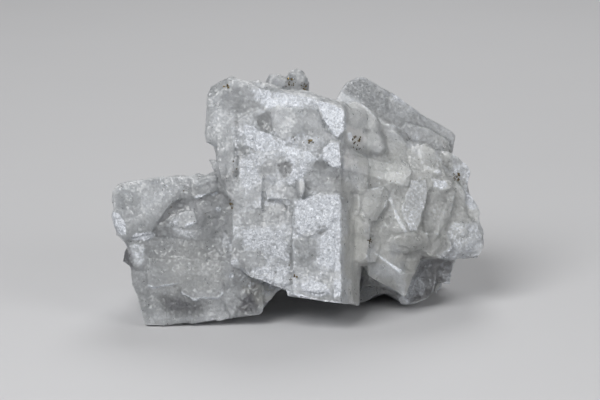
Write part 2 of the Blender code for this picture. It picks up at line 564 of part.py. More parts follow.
def right_fan(barite):
    """Plates, blades and blocks that grow to the right of the centre tablet."""
    fan_crystal(barite, "fan_heart", -1.0, [
        (8.0, 50.0), (18.0, 50.0), (29.0, 45.0), (37.0, 40.0), (42.0, 33.0),
        (42.0, 20.0), (34.0, 16.5), (16.0, 14.5), (10.0, 16.0),
    ])
    fan_side(barite)
    fan_top(barite)
    fan_blades(barite)


def right_end(barite):
    """The rounded right end, with its crumbly white growth."""
    barite.plate("end_smooth", -2.6, 14.0, [
        (37.0, 34.6), (41.0, 34.8), (42.9, 33.2), (44.6, 31.0), (45.7, 29.0),
        (46.0, 27.6), (45.5, 26.4), (38.4, 25.4), (36.4, 29.6),
    ], slope=(0.22, 0.16))
    barite.plate("end_body", -3.6, 14.0, [
        (36.4, 27.0), (40.0, 28.0), (45.4, 27.4), (45.9, 25.4), (46.6, 23.2),
        (46.7, 19.4), (45.8, 17.4), (43.6, 16.7), (41.4, 17.2), (39.8, 15.8),
        (36.4, 16.0), (34.8, 18.0),
    ], slope=(0.16, 0.05))
    barite.lump("crumb_a", (40.2, -3.8, 24.6), (5.4, 4.6, 4.8), 20, 8)
    barite.lump("crumb_b", (43.6, -2.2, 23.6), (5.4, 5.0, 6.2), -15, 8)
    barite.lump("crumb_c", (44.3, -1.2, 19.6), (4.8, 4.4, 4.6), 40)
    barite.lump("crumb_d", (41.4, -4.0, 20.2), (4.6, 4.6, 5.0), -30)
    barite.lump("crumb_e", (37.6, -5.4, 20.8), (3.6, 3.8, 3.8), 15)
    barite.lump("crumb_f", (38.2, -4.4, 17.6), (5.2, 4.2, 3.4), -20, 8)
    barite.lump("crumb_g", (45.5, 0.4, 21.6), (2.6, 3.6, 4.6), 0)
    barite.lump("crumb_h", (38.6, -4.6, 22.9), (3.0, 3.4, 2.6), 35, 6)
    barite.lump("crumb_i", (41.3, -5.1, 22.9), (2.9, 3.2, 2.5), -35, 6)
    barite.lump("crumb_j", (42.8, -4.0, 25.6), (2.6, 3.0, 2.2), 15, 6)
    barite.lump("crumb_k", (44.4, -3.4, 21.4), (2.4, 3.2, 2.8), 60, 6)
    barite.lump("crumb_l", (40.0, -4.8, 18.4), (2.8, 3.0, 2.4), 10, 6)
    barite.lump("crumb_m", (36.2, -5.6, 18.6), (2.6, 2.8, 2.2), -25, 6)
    barite.lump("crumb_n", (42.6, -2.6, 18.0), (2.8, 3.0, 2.2), 30, 6)
    barite.plate("end_clear_edge", 1.0, 9.0, [
        (40.4, 17.6), (45.8, 18.2), (45.8, 16.4), (42.0, 16.0), (40.0, 16.6),
    ], slope=(0.10, 0.0))


def lower_right(barite):
    """The wedge under the fan and the darker, clearer crystals around it."""
    barite.plate("wedge", -12.6, 12.0, [
        (17.0, 18.8), (20.2, 19.6), (30.6, 19.2), (30.9, 15.8), (28.6, 11.8),
        (26.4, 6.7), (24.1, 8.4), (20.4, 10.2), (17.0, 12.2),
    ], slope=(0.05, -0.22), cuts=[
        ((25.5, -13.0, 13.0), (0.56, -0.50, 0.75)),
        ((26.0, -12.5, 10.0), (0.80, -0.60, -0.14)),
    ])
    barite.plate("dark_block", -2.4, 16.0, [
        (28.4, 19.0), (35.0, 18.4), (34.6, 10.2), (33.8, 7.2), (32.2, 6.0),
        (29.4, 4.6), (25.6, 4.6), (24.6, 6.8), (27.8, 12.0),
    ], slope=(0.10, -0.15), cuts=[((31.0, -3.0, 12.0), (-0.35, -0.9, 0.2))])
    barite.plate("dark_right", 0.6, 15.0, [
        (33.6, 18.6), (39.4, 17.4), (39.3, 15.2), (38.9, 12.4), (38.4, 9.6),
        (35.2, 10.4), (33.6, 12.0),
    ], slope=(0.20, 0.10))
    barite.plate("dark_low_left", 0.4, 18.0, [
        (14.4, 4.6), (15.5, 9.0), (16.4, 13.6), (19.0, 14.0), (26.6, 11.0),
        (26.0, 6.2), (23.4, 7.0), (20.0, 7.0), (18.4, 6.2), (17.0, 5.2),
    ], slope=(0.06, -0.20))
    barite.plate("dark_low_sliver", -3.0, 8.0, [
        (17.6, 11.8), (24.6, 9.6), (24.4, 7.8), (22.0, 8.8), (18.2, 9.6),
    ], slope=(0.10, 0.20))


def back_plate(barite):
    """The smooth tablet that rises behind the fan."""
    barite.plate("back_plate", 6.0, 15.0, [
        (9.4, 57.3), (10.6, 59.5), (11.9, 61.7), (14.2, 62.7), (15.0, 63.2),
        (16.3, 63.2), (18.1, 62.2), (23.3, 59.1), (28.5, 55.5), (32.3, 52.9),
        (36.3, 50.8), (38.9, 49.1), (40.2, 47.8), (39.7, 45.4), (38.9, 43.2),
        (36.0, 34.0), (16.0, 36.0), (6.0, 48.0),
    ], slope=(0.10, 0.16), bevel=0.5)
    barite.plate("back_plate_step", 4.4, 10.0, [
        (27.0, 51.4), (29.4, 50.6), (33.4, 49.6), (38.6, 46.4), (38.2, 43.0),
        (30.0, 42.0), (26.0, 46.0),
    ], slope=(0.10, 0.16))


def hidden_side(barite):
    """The back and the underside: more tablets, and the broken matrix side."""
    barite.block("back_left", (-25.0, 9.0, 19.0), (27.0, 16.0, 32.0), (6, 4, 5),
                 cuts=[((-37.0, 13.0, 29.0), (-0.6, 0.5, 0.6))])
    barite.block("back_left_tablet", (-28.0, 18.0, 20.0), (22.0, 8.0, 22.0),
                 (-14, 9, -12), bevel=0.7)
    barite.block("back_left_wing", (-36.0, 8.0, 22.0), (6.0, 14.0, 20.0),
                 (8, -10, 16), bevel=0.5)
    barite.block("back_centre", (-3.0, 10.0, 32.0), (30.0, 22.0, 42.0), (5, -3, 4),
                 cuts=[((8.0, 16.0, 51.0), (0.4, 0.6, 0.7))])
    barite.block("back_centre_tablet", (-4.0, 21.0, 31.0), (24.0, 8.0, 34.0),
                 (12, 14, 10), bevel=0.8)
    barite.block("back_upper_blade", (-8.0, 13.0, 48.0), (5.0, 16.0, 16.0),
                 (10, -8, 24), bevel=0.5)
    barite.block("back_right", (24.0, 17.0, 26.0), (28.0, 18.0, 34.0), (4, 6, -6),
                 cuts=[((35.0, 22.0, 36.0), (0.6, 0.5, 0.6))])
    barite.block("back_right_tablet", (22.0, 26.0, 29.0), (26.0, 7.0, 26.0),
                 (-10, -16, -14), bevel=0.7)
    barite.block("back_right_blade", (33.0, 24.0, 21.0), (6.0, 16.0, 20.0),
                 (6, 10, 20), bevel=0.5)
    barite.block("back_low_tablet", (-8.0, 27.0, 18.0), (30.0, 9.0, 18.0),
                 (16, -5, 6), bevel=0.7)
    barite.block("back_low_blade", (8.0, 28.0, 20.0), (5.0, 13.0, 20.0),
                 (0, 12, -22), bevel=0.5)
    barite.block("matrix_left", (-23.5, 12.0, 7.5), (23.0, 26.0, 17.0), (8, 2, 3))
    barite.block("matrix_right", (16.0, 24.0, 13.0), (28.0, 17.0, 20.0), (7, -4, -3))


def grooves():
    """Outlines of what is missing: (name, near, far, outline)."""
    return [
        ("split_groove", -29.0, -24.2, [
            (-2.7, 29.2), (-2.2, 29.8), (-1.7, 28.9), (-1.8, 9.0), (-2.0, 7.0),
            (-2.7, 7.0),
        ]),
        ("strip_groove", -27.0, -24.0, [
            (-16.5, 51.8), (-16.0, 51.8), (-15.8, 36.2), (-16.3, 36.0),
        ]),
        ("face_recess", -27.0, -25.0, [
            (-12.4, 51.4), (-9.4, 52.6), (-8.0, 53.2), (-6.8, 51.2), (-7.6, 48.0),
            (-9.4, 48.8), (-11.2, 49.8),
        ]),
        ("dark_window_recess", -28.0, -25.2, [
            (-5.4, 38.6), (-3.0, 41.0), (-1.8, 40.8), (-2.2, 36.6), (-4.0, 35.4),
        ]),
        ("right_window_recess", -28.0, -25.0, [
            (3.9, 41.4), (6.4, 41.2), (6.8, 39.0), (4.6, 38.4),
        ]),
        ("left_recess", -23.0, -17.2, [
            (-35.2, 25.4), (-33.6, 28.6), (-30.0, 31.2), (-28.2, 30.2),
            (-28.4, 29.2), (-30.4, 28.4), (-33.4, 27.2), (-34.0, 25.2),
        ]),
        ("left_recess_right", -22.0, -17.6, [
            (-26.4, 30.6), (-25.6, 30.8), (-25.0, 27.8), (-24.6, 25.8),
            (-26.0, 26.2),
        ]),
    ]


# -------------------------------------------------------------- pyrite and pockets

PYRITE_GROUPS = [
    # name, x, z in the growth frame, grain size, grains, direction of the row
    ("pyrite_mound_pocket", 13.9, 46.2, 0.75, 4, 60.0),
    ("pyrite_corner_row", 40.0, 37.2, 0.6, 5, 48.0),
    ("pyrite_knob_left", -2.5, 60.9, 0.65, 3, 80.0),
    ("pyrite_knob_right", 0.9, 59.8, 0.7, 4, 60.0),
    ("pyrite_centre_face", 2.8, 45.5, 0.65, 3, 30.0),
    ("pyrite_junction", -17.0, 30.3, 0.9, 3, 100.0),
    ("pyrite_groove", -1.2, 12.2, 0.5, 3, 90.0),
    ("pyrite_top_left", -18.4, 59.6, 0.65, 3, 10.0),
    ("pyrite_side", 17.4, 21.0, 0.5, 3, 80.0),
]
GRAIN_SPACING = 0.62        # distance between grains, in grain sizes
GRAIN_ASIDE = 0.12          # how far grains stand to each side of the row
GRAIN_SHRINK = 0.14         # how much smaller the second and third grains are
GRAIN_SINK = 0.15           # how deep a group's centre sits, in grain sizes
CUBE_REACH = 1.0            # from a turned cube's centre past its corners
POCKET_ROOM = 1.25          # makes the faceted hollow clear the row's corners
POCKET_SIDES = 8
IN_FRONT = -60.0            # a y in front of the whole cluster


def front_depth(body, x, z):
    """The y, in mm, where a line from the front at (x, z) first meets the barite."""
    start = Vector((x, IN_FRONT, z)) * MM
    hit, place, _, _ = body.ray_cast(start, Vector((0, 1, 0)))
    if not hit:
        raise ValueError(f"nothing at x {x}, z {z}")
    return place.y / MM


def grain_cubes(name, centre, size, count, row_deg, group):
    """A row of turned pyrite cubes, overlapping so that they join."""
    cubes = Cluster(group)
    row = math.radians(row_deg)
    for number in range(count):
        along = (number - (count - 1) / 2) * GRAIN_SPACING * size
        aside = GRAIN_ASIDE * size * (-1) ** number
        place = (
            centre[0] + along * math.cos(row) - aside * math.sin(row),
            centre[1] + aside,
            centre[2] + along * math.sin(row) + aside * math.cos(row),
        )
        side = size * (1.0 - GRAIN_SHRINK * (number % 3))
        turn = (17 + 31 * number, 23 * number, 11 + 41 * number)
        cubes.block(f"{name}_grain_{number}", place, (side,) * 3, turn)
    return cubes.crystals


def pocket(name, centre, size, count, row_deg, cutters):
    """The rounded hollow that a group of grains sits in, with its clearance."""
    width = 2 * (CUBE_REACH * size + GRAIN_GAP) * POCKET_ROOM
    length = (count - 1) * GRAIN_SPACING * size * POCKET_ROOM + width
    hollow = Cluster(cutters)
    hollow.lump(name, centre, (length, width, width), -row_deg, POCKET_SIDES)
    return hollow.crystals[0]


# ---------------------------------------------------------------- joining it all

def resting_frame():
    """From the growth frame to the resting frame, level underside at z = 0."""
    turn = Matrix.Rotation(math.radians(-LEAN_DEG), 4, "X")
    touch = turn @ (Vector((0, GROUND_Y, GROUND_Z)) * MM)
    return Matrix.Translation((0, 0, -touch.z)) @ turn


def joined(item, operand, operation):
    """Add one exact Boolean to an object."""
    step = item.modifiers.new(operand.name, "BOOLEAN")
    step.operation = operation
    step.solver = "EXACT"
    step.object = operand


def frozen(item, name, group):
    """A new object from the evaluated mesh of another, welded and triangulated."""
    bpy.context.view_layer.update()
    graph = bpy.context.evaluated_depsgraph_get()
    mesh = bpy.data.meshes.new_from_object(item.evaluated_get(graph))
    mesh.name = name
    shape = bmesh.new()
    shape.from_mesh(mesh)
    bmesh.ops.remove_doubles(shape, verts=shape.verts[:], dist=FUSED_WELD)
    bmesh.ops.dissolve_degenerate(shape, edges=shape.edges[:], dist=FUSED_WELD)
    bmesh.ops.triangulate(shape, faces=shape.faces[:])
    shape.to_mesh(mesh)
    shape.free()
    return add_object(name, mesh, group)


def fuse(crystals, name, group):
    """Unite crystals one after another in a single solid."""
    body = crystals[0].copy()
    body.data = crystals[0].data.copy()
    group.objects.link(body)
    for crystal in crystals[1:]:
        joined(body, crystal, "UNION")
    result = frozen(body, name, group)
    bpy.data.objects.remove(body, do_unlink=True)
    return result


def finish(item, material, frame):
    """Place a finished solid in the resting frame and dress it."""
    item.data.transform(frame)
    item.data.materials.clear()
    item.data.materials.append(material)
    item.hide_render = False
    item.display_type = "TEXTURED"


def middle_of_base(item):
    """The middle of an object's box, in x and y."""
    xs = [v.co.x for v in item.data.vertices]
    ys = [v.co.y for v in item.data.vertices]
    return Vector(((min(xs) + max(xs)) / 2, (min(ys) + max(ys)) / 2, 0.0))


def cut_level(body, cutters):
    """Cut the underside flat at z = 0 in the resting frame."""
    ground = Cluster(cutters)
    ground.block("ground", (0, 0, -GROUND_BLOCK / 2), (GROUND_BLOCK,) * 3)
    joined(body, ground.crystals[0], "DIFFERENCE")


def build_barite(cutters):
    """Fuse all the crystals and take the grooves and recesses out."""
    barite = Cluster(cutters)
    left_tablet(barite)
    centre_tablet(barite)
    top_knobs(barite)
    right_fan(barite)
    right_end(barite)
    lower_right(barite)
    back_plate(barite)
    hidden_side(barite)
    whole = as_cutter(fuse(barite.crystals, "whole_barite", cutters))
    hollows = Cluster(cutters)
    for name, near, far, outline in grooves():
        hollows.plate(name, near, far, outline)
    for hollow in hollows.crystals:
        joined(whole, hollow, "DIFFERENCE")
    return as_cutter(frozen(whole, "grooved_barite", cutters))


def main():
    clear_scene()
    model = new_collection("barite_with_pyrite")
    cutters = new_collection("cutters")
    barite_look = new_material("barite", (0.62, 0.64, 0.66), 0.45, 0.0)
    pyrite_look = new_material("pyrite", (0.35, 0.27, 0.14), 0.35, 1.0)
    frame = resting_frame()
    grooved = build_barite(cutters)

    grains = []
    for name, x, z, size, count, row_deg in PYRITE_GROUPS:
        centre = (x, front_depth(grooved, x, z) + GRAIN_SINK * size, z)
        cubes = grain_cubes(name, centre, size, count, row_deg, cutters)
        grains.append(fuse(cubes, name, model))
        hollow = pocket(name + "_pocket", centre, size, count, row_deg, cutters)
        joined(grooved, hollow, "DIFFERENCE")

    body = frozen(grooved, "leaning_barite", cutters)
    finish(body, barite_look, frame)
    cut_level(body, cutters)
    cluster = frozen(body, "barite_cluster", model)
    bpy.data.objects.remove(body, do_unlink=True)
    to_origin = Matrix.Translation(-middle_of_base(cluster))
    cluster.data.transform(to_origin)
    for grain in grains:
        finish(grain, pyrite_look, to_origin @ frame)


main()
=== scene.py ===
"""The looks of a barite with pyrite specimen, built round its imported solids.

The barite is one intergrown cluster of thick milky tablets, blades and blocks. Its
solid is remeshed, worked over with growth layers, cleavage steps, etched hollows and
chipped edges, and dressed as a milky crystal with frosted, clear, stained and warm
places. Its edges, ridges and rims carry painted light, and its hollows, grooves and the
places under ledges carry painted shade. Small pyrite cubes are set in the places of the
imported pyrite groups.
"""

import logging
import math
from dataclasses import dataclass
from enum import Enum, IntEnum
from typing import Any, Callable, Iterable

import bpy
import numpy as np
from mathutils import Matrix, Vector
from mathutils.bvhtree import BVHTree


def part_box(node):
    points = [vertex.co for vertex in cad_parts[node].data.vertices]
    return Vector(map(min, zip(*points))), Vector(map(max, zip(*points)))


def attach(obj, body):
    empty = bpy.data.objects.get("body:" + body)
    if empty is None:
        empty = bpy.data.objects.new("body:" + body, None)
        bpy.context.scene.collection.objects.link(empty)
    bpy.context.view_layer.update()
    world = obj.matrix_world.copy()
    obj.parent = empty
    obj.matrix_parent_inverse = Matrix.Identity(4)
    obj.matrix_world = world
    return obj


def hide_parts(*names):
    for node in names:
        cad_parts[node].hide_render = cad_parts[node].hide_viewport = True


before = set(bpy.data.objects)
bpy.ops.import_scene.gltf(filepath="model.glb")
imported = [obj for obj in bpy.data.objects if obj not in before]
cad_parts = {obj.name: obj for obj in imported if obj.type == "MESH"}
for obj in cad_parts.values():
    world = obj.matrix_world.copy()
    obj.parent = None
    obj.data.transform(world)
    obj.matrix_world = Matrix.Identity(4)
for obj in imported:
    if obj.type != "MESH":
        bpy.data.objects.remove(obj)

LOG = logging.getLogger("specimen")
MM = 0.001
SOUNDING_START_MM = 60.0
MIDDLE = 0.5
CELL_MIX = (73856093, 19349663, 83492791)
Span = tuple[float, float]
Colour = tuple[float, float, float]
Place = tuple[float, float, float]


# ------------------------------------------------------------------- where things are

@dataclass(frozen=True)
class GrowthFrame:
    """The frame that the big tablets grew in, in millimetres.

    In it x runs across the tablets' front faces, z runs up along them and y runs
    back into the cluster. The resting specimen leans back from it.
    """

    lean_deg: float = 12.0
    origin: Place = (0.000221, -0.007824, -0.003420)

    def matrix(self) -> Matrix:
        """From growth millimetres to the resting frame's metres."""
        lean = Matrix.Rotation(math.radians(-self.lean_deg), 4, "X")
        return Matrix.Translation(self.origin) @ lean @ Matrix.Scale(MM, 4)

    def from_world(self, points: np.ndarray) -> np.ndarray:
        """Growth millimetres of many world points.

        Args:
            points: An array of shape (n, 3), in metres.

        Returns:
            An array of the same shape, in millimetres.
        """
        back = np.array(self.matrix().inverted())
        return points @ back[:3, :3].T + back[:3, 3]

    def to_world(self, point: Place) -> Vector:
        """The world place of one growth point."""
        return self.matrix() @ Vector(point)

    def directions(self, normals: np.ndarray) -> np.ndarray:
        """World directions as growth directions."""
        back = np.array(Matrix.Rotation(math.radians(self.lean_deg), 3, "X"))
        return normals @ back.T

    def ahead(self) -> Vector:
        """The world direction of growth y, back into the cluster."""
        return (self.matrix().to_3x3() @ Vector((0, 1, 0))).normalized()


GROWTH = GrowthFrame()


class Axis(IntEnum):
    """The axes of the growth frame."""

    ACROSS = 0
    BACK = 1
    UP = 2


class Cell(Enum):
    """The shape of the cells of a broken pavement."""

    SQUARE = "straight-sided"
    ROUND = "rounded"


def smooth_step(values: np.ndarray, low: float, high: float) -> np.ndarray:
    """A smooth ramp from 0 at low to 1 at high, which may be the smaller."""
    share = np.clip((values - low) / (high - low), 0.0, 1.0)
    return share * share * (3.0 - 2.0 * share)


@dataclass(frozen=True)
class Zone:
    """A part of the cluster with soft sides.

    Attributes:
        weight: Its weight inside.
        sides: For each side the axis, where the zone ends and where it is full,
            in growth millimetres.
    """

    weight: float
    sides: tuple[tuple[Axis, float, float], ...]

    def share(self, places: np.ndarray) -> np.ndarray:
        """The zone's weight at each place."""
        share = np.ones(len(places))
        for axis, end, full in self.sides:
            share *= smooth_step(places[:, axis], end, full)
        return self.weight * share


@dataclass(frozen=True)
class Patch:
    """A soft elliptical place on the crystals, drawn from the front.

    Attributes:
        x: Middle across, in growth millimetres.
        z: Middle up.
        wide: Half width.
        high: Half height.
        turn_deg: How far it is turned, anticlockwise.
        strength: Its weight in the middle.
        deepest: The largest y that it reaches.
        reach: How far it reaches, to its half sizes.
        soft: Width of its border, to its half sizes.
    """

    x: float
    z: float
    wide: float
    high: float
    turn_deg: float = 0.0
    strength: float = 1.0
    deepest: float = 8.0
    reach: float = 1.25
    soft: float = 0.5

    def weight(self, places: np.ndarray, ragged: np.ndarray) -> np.ndarray:
        """The patch's weight at each place.

        Args:
            places: Growth millimetres, shape (n, 3).
            ragged: A number near zero for each place that shifts the border.

        Returns:
            Weights from 0 to strength.
        """
        turn = math.radians(self.turn_deg)
        dx = places[:, 0] - self.x
        dz = places[:, 2] - self.z
        across = (dx * math.cos(turn) + dz * math.sin(turn)) / self.wide
        up = (dz * math.cos(turn) - dx * math.sin(turn)) / self.high
        inside = self.reach - np.sqrt(across**2 + up**2) + ragged
        weight = self.strength * smooth_step(inside, 0.0, self.soft)
        return weight * (places[:, 1] < self.deepest)


def strongest(
    patches: Iterable[Patch], places: np.ndarray, ragged: np.ndarray
) -> np.ndarray:
    """The weight of the strongest of several patches at each place."""
    total = np.zeros(len(places))
    for patch in patches:
        total = np.maximum(total, patch.weight(places, ragged))
    return total


# ------------------------------------------------------------------------ solid noise

@dataclass(frozen=True)
class Noise:
    """Repeatable noise in space, for many points at once."""

    seed: int
    entries: int = 4096

    def _random(self, columns: int) -> np.ndarray:
        """A table of random numbers from -1 to 1."""
        return np.random.default_rng(self.seed).uniform(-1, 1, (self.entries, columns))

    def _entry(self, cells: np.ndarray) -> np.ndarray:
        """A table row for each whole-number cell."""
        mixed = cells.astype(np.int64) * np.array(CELL_MIX)
        return (mixed[:, 0] ^ mixed[:, 1] ^ mixed[:, 2] ^ self.seed) % self.entries

    def smooth(self, places: np.ndarray, size: float) -> np.ndarray:
        """Rolling noise from about -1 to 1.

        Args:
            places: Points, shape (n, 3).
            size: Length of one wave, in the points' units.

        Returns:
            One number for each point.
        """
        slopes = self._random(3)
        scaled = places / size
        low = np.floor(scaled)
        part = scaled - low
        fade = part**3 * (part * (part * 6 - 15) + 10)
        total = np.zeros(len(places))
        for corner in np.ndindex(2, 2, 2):
            step = np.array(corner)
            slope = slopes[self._entry(low + step)]
            share = np.prod(np.where(step, fade, 1 - fade), axis=1)
            total += share * np.einsum("ij,ij->i", slope, part - step)
        return total * 1.5

    def rough(self, places: np.ndarray, size: float, layers: int = 3) -> np.ndarray:
        """Several layers of rolling noise, each half as large as the last."""
        total = np.zeros(len(places))
        for layer in range(layers):
            finer = Noise(self.seed + 17 * layer)
            total += finer.smooth(places, size / 2**layer) / 2**layer
        return total

    def blocks(self, places: np.ndarray, size: float, shape: Cell) -> np.ndarray:
        """Which block of a broken pavement each point is in, and where in it.

        Args:
            places: Points, shape (n, 3).
            size: Width of a block.
            shape: The shape of the blocks.

        Returns:
            For each point a random height from -1 to 1, and a random tilt
            across the block from about -1 to 1, shape (n, 2).
        """
        table = self._random(7)
        scaled = places / size
        home = np.floor(scaled)
        nearest = np.full(len(places), np.inf)
        found = np.zeros((len(places), 2))
        for offset in np.ndindex(3, 3, 3):
            cell = home + np.array(offset) - 1
            row = table[self._entry(cell)]
            away = scaled - (cell + 0.5 + 0.45 * row[:, :3])
            if shape is Cell.SQUARE:
                reach = np.abs(away).max(axis=1)
            else:
                reach = (away**2).sum(axis=1)
            closer = reach < nearest
            nearest = np.where(closer, reach, nearest)
            tilt = np.einsum("ij,ij->i", row[:, 4:7], away)
            found[closer, 0] = row[closer, 3]
            found[closer, 1] = tilt[closer]
        return found


TERRACE_WAVES = Noise(11)
STEP_BLOCKS = Noise(23)
STEP_PLATES = Noise(37)
ETCHED_AREAS = Noise(41)
SUGAR_GRAINS = Noise(43)
CHIP_BITES = Noise(53)
CHIP_NICKS = Noise(59)
PATCH_BORDERS = Noise(61)
LAYER_BORDERS = Noise(71)
RIME_DRIFTS = Noise(73)


# ----------------------------------------------------------------------- the workbench

class Bench:
    """Selecting, joining and applying, as by hand."""

    @staticmethod
    def only(piece: bpy.types.Object) -> None:
        """Select one piece and nothing else."""
        bpy.ops.object.select_all(action="DESELECT")
        piece.select_set(True)
        bpy.context.view_layer.objects.active = piece

    @staticmethod
    def apply(piece: bpy.types.Object, kind: str, **settings: Any) -> None:
        """Give a piece a modifier and apply it.

        Args:
            piece: The mesh object.
            kind: The modifier's type.
            **settings: Its properties.
        """
        Bench.only(piece)
        modifier = piece.modifiers.new(kind.lower(), kind)
        for name, value in settings.items():
            setattr(modifier, name, value)
        bpy.ops.object.modifier_apply(modifier=modifier.name)

    @staticmethod
    def join(pieces: list[bpy.types.Object], name: str) -> bpy.types.Object:
        """Join several pieces in the first.

        Args:
            pieces: Mesh objects.
            name: What the joined piece is called.

        Returns:
            The joined piece.
        """
        Bench.only(pieces[0])
        for piece in pieces[1:]:
            piece.select_set(True)
        if len(pieces) > 1:
            bpy.ops.object.join()
        pieces[0].name = name
        return pieces[0]

    @staticmethod
    def copy(piece: bpy.types.Object, place: Matrix) -> bpy.types.Object:
        """A copy of a piece with its own mesh, moved by a matrix."""
        mesh = piece.data.copy()
        mesh.transform(place)
        return Bench.new_object(piece.name, mesh)

    @staticmethod
    def new_object(name: str, data: bpy.types.ID) -> bpy.types.Object:
        """A new object in the scene, made of the data."""
        item = bpy.data.objects.new(name, data)
        bpy.context.scene.collection.objects.link(item)
        return item

    @staticmethod
    def cube(name: str, bevel: float) -> bpy.types.Object:
        """A cube, 1 m wide, at the origin, with its edges bevelled."""
        bpy.ops.object.select_all(action="DESELECT")
        bpy.ops.mesh.primitive_cube_add(size=1.0)
        cube = bpy.context.active_object
        cube.name = name
        bpy.ops.object.mode_set(mode="EDIT")
        bpy.ops.mesh.select_all(action="SELECT")
        bpy.ops.mesh.bevel(offset=bevel, segments=1)
        bpy.ops.mesh.select_all(action="DESELECT")
        bpy.ops.object.mode_set(mode="OBJECT")
        return cube


def vertex_places(mesh: bpy.types.Mesh) -> np.ndarray:
    """All vertex places of a mesh, shape (n, 3)."""
    flat = np.empty(len(mesh.vertices) * 3)
    mesh.vertices.foreach_get("co", flat)
    return flat.reshape(-1, 3)


def vertex_directions(mesh: bpy.types.Mesh) -> np.ndarray:
    """All vertex normals of a mesh, shape (n, 3)."""
    flat = np.empty(len(mesh.vertices) * 3)
    mesh.vertex_normals.foreach_get("vector", flat)
    return flat.reshape(-1, 3)


def move_vertices(mesh: bpy.types.Mesh, places: np.ndarray) -> None:
    """Put the vertices of a mesh in new places, shape (n, 3)."""
    mesh.vertices.foreach_set("co", places.ravel())
    mesh.update()


class Neighbours:
    """Which vertices of a mesh are joined by an edge."""

    pull = 0.8
    kept, taken = 0.4, 0.6

    def __init__(self, mesh: bpy.types.Mesh) -> None:
        """Read the edges of a mesh."""
        pairs = np.empty(len(mesh.edges) * 2, np.int64)
        mesh.edges.foreach_get("vertices", pairs)
        self.first, self.second = pairs.reshape(-1, 2).T
        self.count = len(mesh.vertices)
        ends = np.concatenate([self.first, self.second])
        self.degree = np.maximum(np.bincount(ends, minlength=self.count), 1)

    def mean(self, values: np.ndarray) -> np.ndarray:
        """The mean of each vertex's neighbours.

        Args:
            values: One number for each vertex.

        Returns:
            One number for each vertex.
        """
        one_way = np.bincount(self.first, values[self.second], self.count)
        other_way = np.bincount(self.second, values[self.first], self.count)
        return (one_way + other_way) / self.degree

    def shrink(self, places: np.ndarray, weight: np.ndarray, rounds: int) -> None:
        """Pull part of the surface tight, like a skin.

        Args:
            places: All vertex places, which are changed.
            weight: How freely each vertex moves, from 0 to 1.
            rounds: How long it is pulled.
        """
        inner = np.flatnonzero(weight > 0)
        if len(inner) == 0:
            return
        known = np.zeros(self.count, bool)
        known[inner] = True
        touching = known[self.first] | known[self.second]
        first, second = self.first[touching], self.second[touching]
        used, local = np.unique(np.concatenate([first, second]), return_inverse=True)
        first, second = local[: len(first)], local[len(first) :]
        degree = np.bincount(local, minlength=len(used))[:, None]
        patch = places[used]
        freedom = weight[used][:, None]
        for _ in range(rounds):
            total = np.zeros_like(patch)
            for axis in range(3):
                total[:, axis] = np.bincount(first, patch[second, axis], len(used))
                total[:, axis] += np.bincount(second, patch[first, axis], len(used))
            patch += freedom * self.pull * (total / degree - patch)
        places[used] = patch

    def blurred(self, values: np.ndarray, rounds: int) -> np.ndarray:
        """Values spread over the surface by some rounds of averaging."""
        for _ in range(rounds):
            values = self.kept * values + self.taken * self.mean(values)
        return values

    def standing_out(self, world: np.ndarray, normals: np.ndarray) -> np.ndarray:
        """How far each vertex stands out from the middle of its neighbours."""
        middle = np.stack([self.mean(world[:, k]) for k in range(3)], axis=1)
        return np.einsum("ij,ij->i", world - middle, normals)


# --------------------------------------------------------------------- shader building

class Value:
    """A shader socket that takes part in Python sums."""

    def __init__(self, graph: "Graph", socket: bpy.types.NodeSocket) -> None:
        """Wrap an output socket of a graph."""
        self.graph = graph
        self.socket = socket

    def __add__(self, other: "Value | float") -> "Value":
        """This plus other."""
        return self.graph.maths("ADD", self, other)

    def __sub__(self, other: "Value | float") -> "Value":
        """This minus other."""
        return self.graph.maths("SUBTRACT", self, other)

    def __rsub__(self, other: "Value | float") -> "Value":
        """Other minus this."""
        return self.graph.maths("SUBTRACT", other, self)

    def __mul__(self, other: "Value | float") -> "Value":
        """This times other."""
        return self.graph.maths("MULTIPLY", self, other)

    __radd__ = __add__
    __rmul__ = __mul__

    def ramp(self, low: float, high: float) -> "Value":
        """A smooth step from 0 at low to 1 at high."""
        node = self.graph.add(
            "ShaderNodeMapRange",
            {"interpolation_type": "SMOOTHSTEP"},
            {"Value": self, "From Min": low, "From Max": high},
        )
        return Value(self.graph, node.outputs[0])


